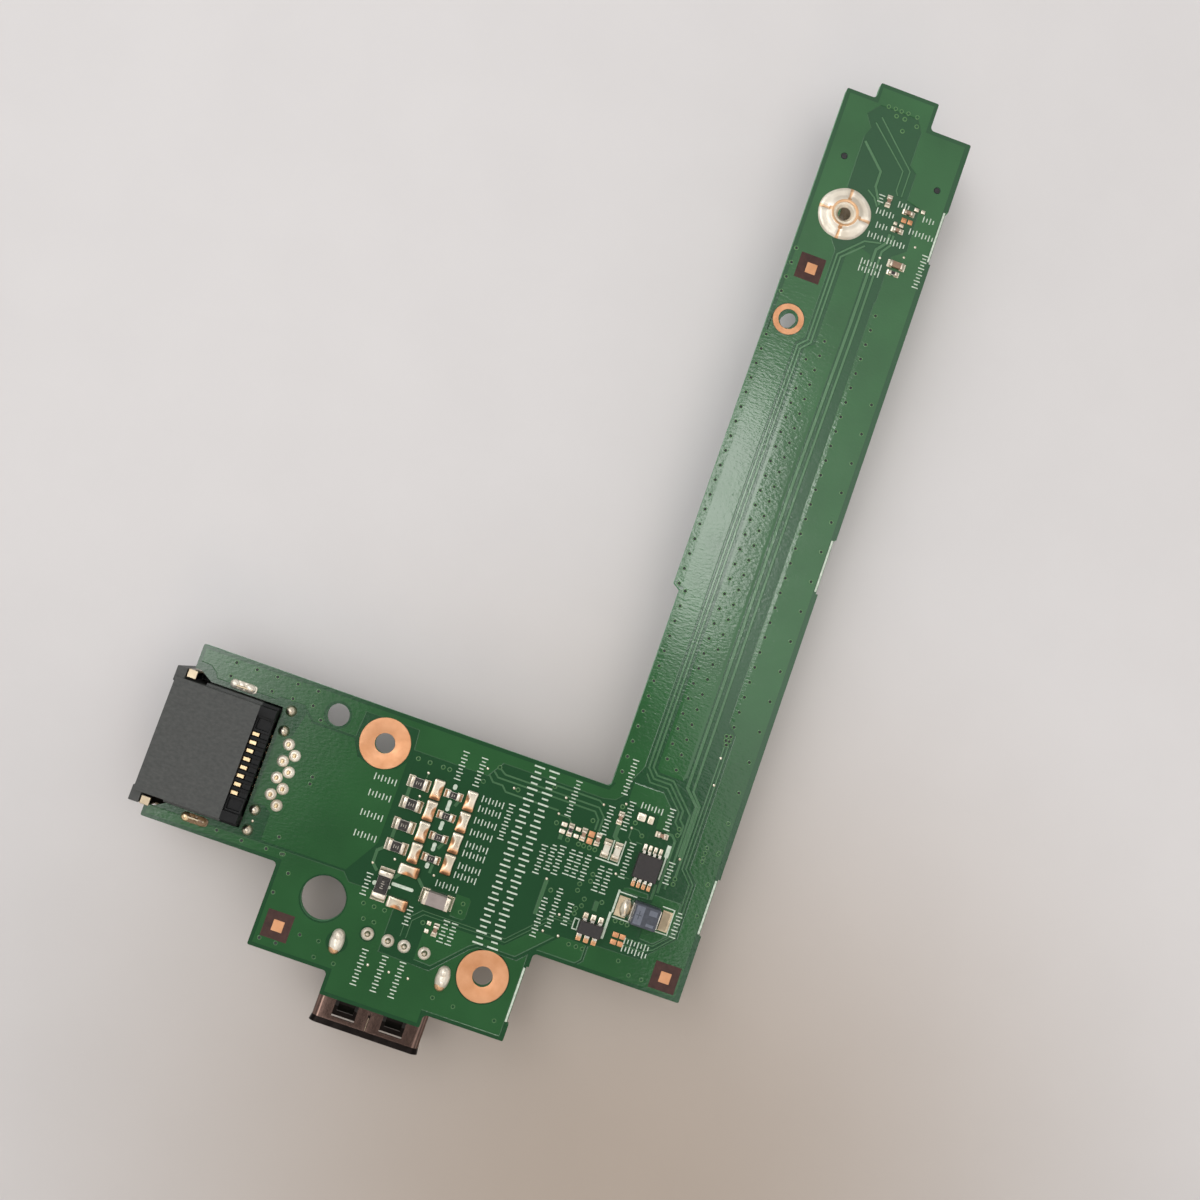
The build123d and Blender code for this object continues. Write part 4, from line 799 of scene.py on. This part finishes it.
def make_joints():
    """Solder of the sockets' pins and tabs, and of the standoff."""
    bm = bmesh.new()
    rows = [(-53.4, v) for v in (13.57, 11.53, 9.49, 7.45)] + [(-52.3, v) for v in (12.55, 10.51, 8.47, 6.43)]
    for u, v in rows:
        turned(bm, (u, v), PIN_RING, 28)
        turned(bm, (u, v), [(0.0, 0.345), (0.14, 0.34), (0.19, 0.28)], 16, 1)
    for v in (14.85, 5.15, 17.33, 2.68):
        turned(bm, (-54.5, v), PIN_DOME, 24, 4)
    # The upper shield joint is bright solder. The lower one is amber flux, and its left dome takes the gold finish as a
    # painted glint.
    for v, kinds in ((18.2, (0, 0, 0)), (1.85, (2, 3, 3))):
        for shift, wide, tall, kind in zip((-1.1, -0.3, 0.75), (0.72, 0.62, 0.9), (0.85, 0.62, 0.8), kinds):
            turned(bm, (-60.6 + shift, v), [(r, h * tall) for r, h in TAB_DOME], 28, kind, stretch=(wide, 0.7))
        lump(bm, (-60.6, v), (3.15, 1.05, 0.2), rounds=4, material=kinds[2])
    add_piece("jack_joints", bm, [SOLDER_DULL, SPOKE_TAN, GOLD_AND_GLINT, FLUX, SOLDER], ("jack_solder",))

    bm = bmesh.new()
    for u in (-37.25, -34.75, -32.75, -30.25):
        turned(bm, (u, -4.1), PIN_FOOT, 28)
        turned(bm, (u + 0.02, -4.05), PIN_PEAK, 24, 2)
    for u, v in ((-40.3, -6.05), (-27.25, -6.15)):
        turned(bm, (u - 0.03, v - 0.85), [(r * 0.8, h * 0.85) for r, h in TAB_DOME], 32, 1, stretch=(1, 1.04))
        turned(bm, (u, v), TAB_DOME, 32, stretch=(1.02, 1.8))
        turned(bm, (u + 0.06, v - 0.45), [(r * 0.75, h + 0.04) for r, h in TAB_DOME], 32, stretch=(1, 1.1))
        turned(bm, (u - 0.04, v + 0.7), [(r * 0.9, h + 0.07) for r, h in TAB_DOME], 32, stretch=(1, 1.1))
    add_piece("usb_joints", bm, [SOLDER_DULL, SPOKE_TAN, SOLDER], ("usb_solder",))

    bm = bmesh.new()
    low, high = span("standoff_solder")
    centre = (low + high) / 2
    turned(bm, (0, 0), COLLAR, 96)
    for vert in bm.verts:
        angle, radius, off = by_spokes(vert.co)
        if radius > 1.95:
            vert.co.z *= 0.55 + 0.45 * min(1.0, (off / SPOKE_HALF) ** 2)
            wobble = 1 + 0.012 * math.sin(2 * angle + 0.7) + 0.01 * math.sin(5 * angle)
            vert.co.x *= wobble
            vert.co.y *= wobble
    for face in bm.faces:
        _, radius, off = by_spokes(face.calc_center_median())
        face.material_index = 1 if off < SPOKE_HALF - 0.07 * radius or radius < 1.6 else 0
    bmesh.ops.translate(bm, vec=(centre.x, centre.y, 0), verts=bm.verts[:])
    add_piece("standoff_joint", bm, [SOLDER_DULL, SPOKE_TAN], ("standoff_solder",))


def make_lumps():
    """Solder on the spare lands, test points and lead feet."""
    def away(side, across, along):
        return math.hypot((across * side - 0.95) / 0.72, along / 0.52)

    def stained_and_shaded(side):
        """Copper shows through in a half round at one side. The low end is darkened, partly as flux and partly as
        painted shade, and a faint painted shade deepens towards the low end over most of the lump.
        """
        def stain_and_shade(across, along):
            bare = 1.0 - min(1.0, max(0.0, (away(side, across, along) - 0.8) / 0.2))
            shaded_low_end = 1.8 * min(1.0, max(0.0, -along - 0.4) / 0.38) ** 1.2 * (1 - 0.3 * across * across)
            return max(0.3 * max(0.0, 0.4 - along), bare, shaded_low_end)
        return stain_and_shade

    def hollow(side):
        return lambda across, along: 0.45 * max(0.0, 1 - away(side, across, along) ** 2)

    bm = bmesh.new()
    for v in (14.3, 11.7, 9.1, 6.5):
        for u, side in ((-35.25, 1), (-31.15, -1)):
            lump(bm, (u, v), (1.44, 2.45, 0.5), rounds=4, waist=0.17, stain_and_shade=stained_and_shaded(side), dish=hollow(side))
    for v in (4.35, 0.3):
        lump(
            bm, (-35.2, v), (1.42, 2.45, 0.5), math.pi / 2, rounds=4, waist=0.14, stain_and_shade=stained_and_shaded(-1), dish=hollow(-1),
        )
    add_piece("spare_lumps", bm, [SOLDER], ("spare_land_solder",))

    def coppery(across, along):
        """The feet at the lower side took little solder, so their copper shows."""
        return min(1.0, max(0.0, 0.7 - 1.2 * along))

    bm = bmesh.new()
    for u, v, w, h in (
        (-11.35, 19.2, 1.1, 1.0), (-10.2, 19.2, 0.75, 1.0), (-19.75, 15.4, 0.75, 0.55), (-19.75, 14.55, 0.75, 0.55),
        (-18.0, 15.4, 0.65, 0.5), (-18.0, 14.55, 0.65, 0.5), (-30.9, -0.6, 0.55, 0.5), (-30.9, -1.55, 0.55, 0.5),
        (-3.85, 100.55, 0.62, 0.5), (-3.0, 100.55, 0.55, 0.5), (-5.8, 98.0, 0.5, 0.45), (-5.0, 98.0, 0.58, 0.5),
    ):
        lump(bm, (u, v), (w, h, 0.26), rounds=3)
    for u, v in (
        (-36.9, 15.8), (-36.95, 12.9), (-37.2, 5.05), (-39.5, 3.85), (-32.25, 4.75), (-36.0, -7.45), (-33.4, -7.45),
        (-31.05, -7.45), (-13.6, 20.05), (-12.05, 17.6), (-5.4, 16.0), (-12.05, 11.9), (-16.1, 19.1), (-20.8, 16.35),
        (-20.6, 18.4), (-26.8, 17.45), (-30.5, 18.6), (-18.0, 2.85), (-16.1, 2.85), (-16.8, 5.25), (-19.6, 8.7),
        (-2.5, 96.1), (-3.4, 94.4), (-6.2, 93.3), (-4.7, 28.9), (-4.4, 25.6), (-54.3, 3.85),
    ):
        turned(bm, (u, v), [(0.0, 0.07), (0.09, 0.065), (0.15, 0.03), (0.16, -0.01)], 14)
    for node, count, pitch, beyond, size in (
        ("power_chip_leads", 4, 0.65, 0.0, (0.44, 0.95, 0.2)), ("guard_chip_leads", 3, 0.95, 0.15, (0.62, 0.95, 0.24)),
    ):
        low, high = span(node)
        for i in range(count):
            u = (low.x + high.x) / 2 + (i - (count - 1) / 2) * pitch
            lump(bm, (u, low.y - beyond + 0.3), size, rounds=3, stain_and_shade=coppery)
            lump(bm, (u, high.y + beyond - 0.3), size, rounds=3)
    # Lands of the tank capacitor: a bright dome climbs its left end, and a flat tan slope lies at its right.
    for u, w in ((-10.05, 1.4), (-4.65, 1.25)):
        brick(bm, (u - w / 2, u + w / 2), (7.3, 9.75), (SUNK, 0.08), 0.04, 2)
    turned(bm, (-9.65, 8.5), [(0.0, 0.6), (0.3, 0.56), (0.6, 0.4), (0.85, 0.18), (0.95, 0.05)], 28, stretch=(0.72, 1.2))
    prism(bm, [(-0.55, 0.06), (0.45, 0.1), (-0.3, 0.45), (-0.55, 0.6)], 2.1, Matrix.Translation((-4.75, 8.5, 0)), 2)
    add_piece("land_solder", bm, [SOLDER, SPOKE_TAN, LAND_TAN])


# ---------------------------------------------------------------- chip parts


def make_chip(node, body, band, coat=None, marks=0):
    """Chip part: ceramic core, rounded metal ends, and a solder slope and land at each end. marks counts the plain
    printed bars on its top."""
    low, high = span(node)
    size, centre = high - low, (low + high) / 2
    upright = size.y > size.x
    length, width = (size.y, size.x) if upright else (size.x, size.y)
    height = size.z
    slope = min(0.34, 0.45 * height + 0.08)
    bm = bmesh.new()
    half, side = length / 2, width / 2
    brick(bm, (-half + band * 0.5, half - band * 0.5), (-side + 0.03, side - 0.03), (0.02, height - 0.03), 0.03)
    if coat:
        reach = half - band - 0.02
        brick(bm, (-reach, reach), (-side + 0.05, side - 0.05), (height - 0.05, height - 0.005), 0.015, 3)
    for i in range(marks):
        along = (i - (marks - 1) / 2) * 0.26
        tall = 0.2 if i % 2 == 0 else 0.12
        brick(bm, (along - 0.045, along + 0.045), (-tall, tall), (height - 0.02, height + 0.003), 0, 4)
    for end in (1, -1):
        inner, outer = end * (half - band), end * half
        brick(bm, (inner, outer), (-side, side), (0.01, height), 0.06 if width > 0.6 else 0.04, 1, segments=2)
        profile = [
            (-0.02, 0.0), (slope, 0.0), (slope * 0.9, 0.05), (slope * 0.42, height * 0.26),
            (slope * 0.12, height * 0.56), (-0.02, height * 0.78),
        ]
        turn = Matrix.Translation((outer, 0, 0)) @ Matrix.Rotation(0 if end > 0 else math.pi, 4, "Z")
        prism(bm, profile, width + 0.06, turn, 2)
        reach = (end * (half - band - 0.06), end * (half + slope + 0.06))
        brick(bm, reach, (-side - 0.08, side + 0.08), (SUNK, 0.05), 0.02, 2)
    turn = Matrix.Rotation(math.pi / 2 if upright else 0, 4, "Z")
    bmesh.ops.transform(bm, matrix=Matrix.Translation((centre.x, centre.y, 0)) @ turn, verts=bm.verts[:])
    bmesh.ops.recalc_face_normals(bm, faces=bm.faces[:])
    add_piece(node + "_part", bm, [body, CHIP_END, SOLDER, coat or body, MARKING_INK], (node,))


def make_chips():
    for row in range(1, 5):
        make_chip(f"line_resistor_{row}", ALUMINA, 0.42, RESISTOR_GLASS, 3)
        make_chip(f"link_resistor_{row}", ALUMINA, 0.34, RESISTOR_GLASS, 2)
    make_chip("shunt_resistor", ALUMINA, 0.55, RESISTOR_GLASS, 4)
    make_chip("surge_capacitor", CAPACITOR_GREY, 0.5)
    for name in ("fuse_1", "fuse_2"):
        make_chip(name, FUSE_CERAMIC, 0.36)
    for name in ("strap_resistor", "tip_resistor"):
        make_chip(name, ALUMINA, 0.25, RESISTOR_GLASS)
    for name in (
        "line_capacitor_1", "line_capacitor_2", "supply_capacitor_1", "supply_capacitor_2", "usb_capacitor",
        "tip_capacitor_1", "tip_capacitor_2", "tip_capacitor_3", "tip_capacitor_4",
    ):
        make_chip(name, CAPACITOR_TAN, 0.26)


def make_packages():
    """Moulded packages with softened edges and the tank capacitor's pale band."""
    softened("power_chip_body", "power_chip", 0.06, [CHIP_EPOXY])
    softened("guard_chip_body", "guard_chip", 0.06, [CHIP_EPOXY])
    softened("tank_body", "tank_capacitor", 0.08, [TANK_EPOXY])
    low, high = span("tank_capacitor")
    bm = bmesh.new()
    top = high.z + 0.008
    brick(bm, (low.x + 0.28, low.x + 1.25), (low.y + 0.3, high.y - 0.3), (top - 0.05, top), 0.01)
    brick(bm, (high.x - 1.35, high.x - 0.4), (low.y + 1.75, high.y - 0.42), (top - 0.05, top), 0.01)
    brick(bm, (high.x - 1.35, high.x - 0.4), (low.y + 0.4, low.y + 0.75), (top - 0.05, top), 0.01)
    middle = (low.y + high.y) / 2
    brick(bm, (low.x + 0.68, low.x + 0.8), (middle - 0.5, middle + 0.5), (top - 0.05, top + 0.006), 0, 1)
    brick(bm, (low.x + 0.42, low.x + 1.06), (middle - 0.06, middle + 0.06), (top - 0.05, top + 0.009), 0, 1)
    add_piece("tank_band", bm, [TANK_BAND, TANK_EPOXY])


# ---------------------------------------------------------------- sockets and standoff

# Behind this place the jack's housing is its comb.
COMB_FRONT = -57.75
# Window springs of the USB shell, from end to end across, and the place where its mouth starts to flare.
SHELL_SPRINGS = ((-37.8, -35.6), (-31.9, -29.7))
SHELL_FLARE = -15.12


def shell_part(place):
    """Window springs and the flared mouth take the steel painted dark as shade; the rest of the folded shell is brown.
    """
    windows = -14.1 < place.y < -9.5 and -7.0 < place.z < -1.25
    spring = windows and any(low < place.x < high for low, high in SHELL_SPRINGS)
    return 1 if spring or place.y < SHELL_FLARE else 0


def make_sockets():
    # The comb behind its front, and the carrier, take the nylon painted nearly black as shade.
    softened(
        "jack_body", "jack_housing", 0.06, [JACK_PLASTIC, COMB_SHADE_PLASTIC],
        cut_at=COMB_FRONT, finish_at=lambda place: 1 if place.x > COMB_FRONT else 0,
    )
    softened("jack_carrier_body", "jack_carrier", 0.06, [COMB_SHADE_PLASTIC])
    softened("jack_springs", "jack_contacts", 0.05, [GOLD_AND_GLINT])
    softened("usb_tongue", "usb_insulator", 0.06, [SOCKET_PLASTIC])
    softened("link_body", "link_housing", 0.05, [LINK_PLASTIC], 1)
    softened("usb_shell_walls", "usb_shell", 0.04, [SHELL_STEEL, DARK_STEEL], 1, finish_at=shell_part)
    bm = bmesh.new()
    brick(bm, (-33.82, -33.78), (-15.05, -13.45), (FAR_FACE - 0.05, FAR_FACE + 0.004), 0, 1)
    turned(bm, (-33.8, -13.3), [(0.17, FAR_FACE - 0.05), (0.17, FAR_FACE + 0.006), (0.0, FAR_FACE + 0.006)], 20)
    add_piece("shell_seam", bm, [DARK_STEEL, SHIELD_STEEL])
    for side in ("upper", "lower"):
        softened(f"jack_shield_{side}_plate", f"jack_shield_{side}", 0.05, [SHIELD_STEEL], 1)


def dress_nodes():
    """Finishes of the CAD nodes that stay as they are."""
    # The jack's end contacts take the steel painted dark as shade.
    for node, finish in {
        "board": MASK_BARE, "jack_end_contacts": DARK_STEEL, "usb_contacts": GOLD_AND_GLINT,
        "standoff": BRASS_TIN, "link_contacts": GOLD_AND_GLINT, "power_chip_leads": LEAD_TIN, "guard_chip_leads": LEAD_TIN,
        "tank_capacitor_terminals": LEAD_TIN,
    }.items():
        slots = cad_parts[node].data.materials
        slots.clear()
        slots.append(finish)


# ---------------------------------------------------------------- room


def table_finish():
    """Matt white paint, with a warm painted shadow over a wide area by the near edge, and painted shade that darkens it
    a little towards that edge.
    """
    finish, tree, shader = new_finish("painted_table", "#d2cecd", 0.6)
    tone = two_tone(tree, shader, pattern(tree, 12.0, 3.0), "#d1cdcc", "#d3cfce")
    place = add_node(tree, "ShaderNodeTexCoord").outputs["Object"]
    # Painted shadow: warm and darker round a point beyond the near edge.
    near = add_node(tree, "ShaderNodeVectorMath", {0: place, 1: Vector((25, -25, -12)) * MM}, operation="DISTANCE")
    patch = add_node(tree, "ShaderNodeMapRange", {
        "Value": near.outputs["Value"], "From Min": 5 * MM, "From Max": 95 * MM,
    }, interpolation_type="SMOOTHSTEP")
    # Painted shade: a tenth darker towards the near edge.
    split = add_node(tree, "ShaderNodeSeparateXYZ", {"Vector": place})
    near_edge_shade = add_node(tree, "ShaderNodeMapRange", {
        "Value": split.outputs["Y"], "From Min": -30 * MM, "From Max": 40 * MM, "To Min": 0.9, "To Max": 1.0,
    }, interpolation_type="SMOOTHSTEP")
    warm_shadow = add_node(tree, "ShaderNodeVectorMath", {0: tone, 1: (0.66, 0.57, 0.48)}, operation="MULTIPLY")
    both = blend(tree, patch.outputs[0], warm_shadow.outputs[0], tone)
    shaded_tone = add_node(tree, "ShaderNodeVectorMath", {0: both, "Scale": near_edge_shade.outputs[0]}, operation="SCALE")
    tree.links.new(shaded_tone.outputs[0], shader.inputs["Base Color"])
    relief(tree, shader, [(pattern(tree, 3.0, 3.0), 0.006)])
    return finish


def make_floor():
    """Pale table under the part."""
    low = Vector(cad_bounds[0])
    bm = bmesh.new()
    level = Matrix.Translation((0, 0, low.z - 0.05 * MM))
    bmesh.ops.create_grid(bm, x_segments=1, y_segments=1, size=1.6, matrix=level)
    mesh = bpy.data.meshes.new("table")
    bm.to_mesh(mesh)
    bm.free()
    table = bpy.data.objects.new("table", mesh)
    bpy.context.scene.collection.objects.link(table)
    mesh.materials.append(table_finish())


def make_light(name, place_mm, aim_mm, size_mm, radiance, colour, spread=180.0):
    """Rectangular lamp, given its brightness so that its reflections keep their level at any size and spread."""
    lamp = bpy.data.lights.new(name, "AREA")
    lamp.shape = "RECTANGLE"
    lamp.size, lamp.size_y = size_mm[0] * MM, size_mm[1] * MM
    half = math.radians(spread) / 2
    focus = math.tan(half) / (math.tan(half) - half) if spread < 180 else 1
    lamp.energy = radiance * math.pi * lamp.size * lamp.size_y / focus
    lamp.color = linear(colour)[:3]
    lamp.spread = math.radians(spread)
    holder = bpy.data.objects.new(name, lamp)
    bpy.context.scene.collection.objects.link(holder)
    holder.location = Vector(place_mm) * MM
    holder.rotation_euler = (Vector(aim_mm) - Vector(place_mm)).to_track_quat("-Z", "Y").to_euler()


def room_level(tree, way):
    """Brightness of the room by direction: pale overhead and lower down, a soft glow of ceiling to the left, a
    skylight that gives the long shine on the arm, and the dark shape of whoever stands at the table, which the
    foot of the board mirrors."""
    split = add_node(tree, "ShaderNodeSeparateXYZ", {"Vector": way})
    flat = add_node(tree, "ShaderNodeVectorMath", {0: way, 1: (1, 1, 0)}, operation="MULTIPLY").outputs[0]

    def away(x, y):
        return add_node(tree, "ShaderNodeVectorMath", {0: flat, 1: (x, y, 0)}, operation="DISTANCE").outputs["Value"]

    def ramp(value, start, end, low, high):
        links = {"Value": value, "From Min": start, "From Max": end, "To Min": low, "To Max": high}
        return add_node(tree, "ShaderNodeMapRange", links, interpolation_type="SMOOTHSTEP").outputs[0]

    def join(operation, first, second):
        return add_node(tree, "ShaderNodeMath", {0: first, 1: second}, operation=operation).outputs[0]

    ceiling = ramp(split.outputs["Y"], 0.08, 0.5, 1.6, 0.75)
    ceiling = join("MULTIPLY", ceiling, ramp(away(0.05, 0.1), 0.45, 0.8, 1.0, 0.3))
    ceiling = join("MULTIPLY", ceiling, ramp(away(-0.01, -0.115), 0.172, 0.205, 0.1, 1.0))
    glow = ramp(away(-0.3, -0.02), 0.08, 0.245, 3.4, 0.0)
    # Sloping pane of skylight: its right edge leans, its upper end fades, and it is dimmer at the lower end.
    lean = join("ADD", split.outputs["X"], join("MULTIPLY", split.outputs["Y"], 0.147))
    pane = ramp(lean, 0.145, 0.157, 7.1, 0.0)
    for axis, start, end, low, high in (
        ("X", 0.02, 0.06, 0.0, 1.0), ("Y", 0.07, 0.082, 0.0, 1.0), ("Y", 0.08, 0.15, 0.62, 1.0),
        ("Y", 0.225, 0.29, 1.0, 0.0),
    ):
        pane = join("MULTIPLY", pane, ramp(split.outputs[axis], start, end, low, high))
    glow = join("ADD", glow, pane)
    walls = ramp(split.outputs["Z"], 0.2, 0.65, 1.15, 0.1)
    above = add_node(tree, "ShaderNodeMath", {0: split.outputs["Z"], 1: 0.0}, operation="GREATER_THAN").outputs[0]
    return join("MULTIPLY", join("MAXIMUM", join("ADD", ceiling, glow), walls), join("MAXIMUM", above, 0.6))


def make_room():
    """Plain pale room, a soft window to the upper left, and a warm lamp behind the bottom edge of the table."""
    world = bpy.data.worlds.new("room")
    bpy.context.scene.world = world
    world.use_nodes = True
    tree = world.node_tree
    way = add_node(tree, "ShaderNodeTexCoord").outputs["Generated"]
    tree.links.new(room_level(tree, way), tree.nodes["Background"].inputs["Strength"])
    tree.nodes["Background"].inputs["Color"].default_value = linear("#f8f8f7")
    make_light("window", (-330, 290, 420), (-8, 85, -10), (420, 420), 3.1, "#f6f9ff", spread=64)
    make_light("lamp", (150, -420, 380), (-10, 30, 0), (220, 220), 1.6, "#ffd9b0")


def make_camera():
    camera = bpy.data.cameras.new("camera")
    camera.lens = 42
    camera.sensor_width = 36
    camera.clip_start = 0.01
    holder = bpy.data.objects.new("camera", camera)
    bpy.context.scene.collection.objects.link(holder)
    holder.location = Vector((-8.95, 33.36, 166.92)) * MM
    holder.rotation_euler = (0.05873, -0.06649, 0.33999)
    bpy.context.scene.camera = holder


make_copper()
make_far_copper()
make_legend()
make_joints()
make_lumps()
make_chips()
make_packages()
make_sockets()
dress_nodes()
make_floor()
make_room()
make_camera()
bpy.context.scene.view_settings.view_transform = "Standard"
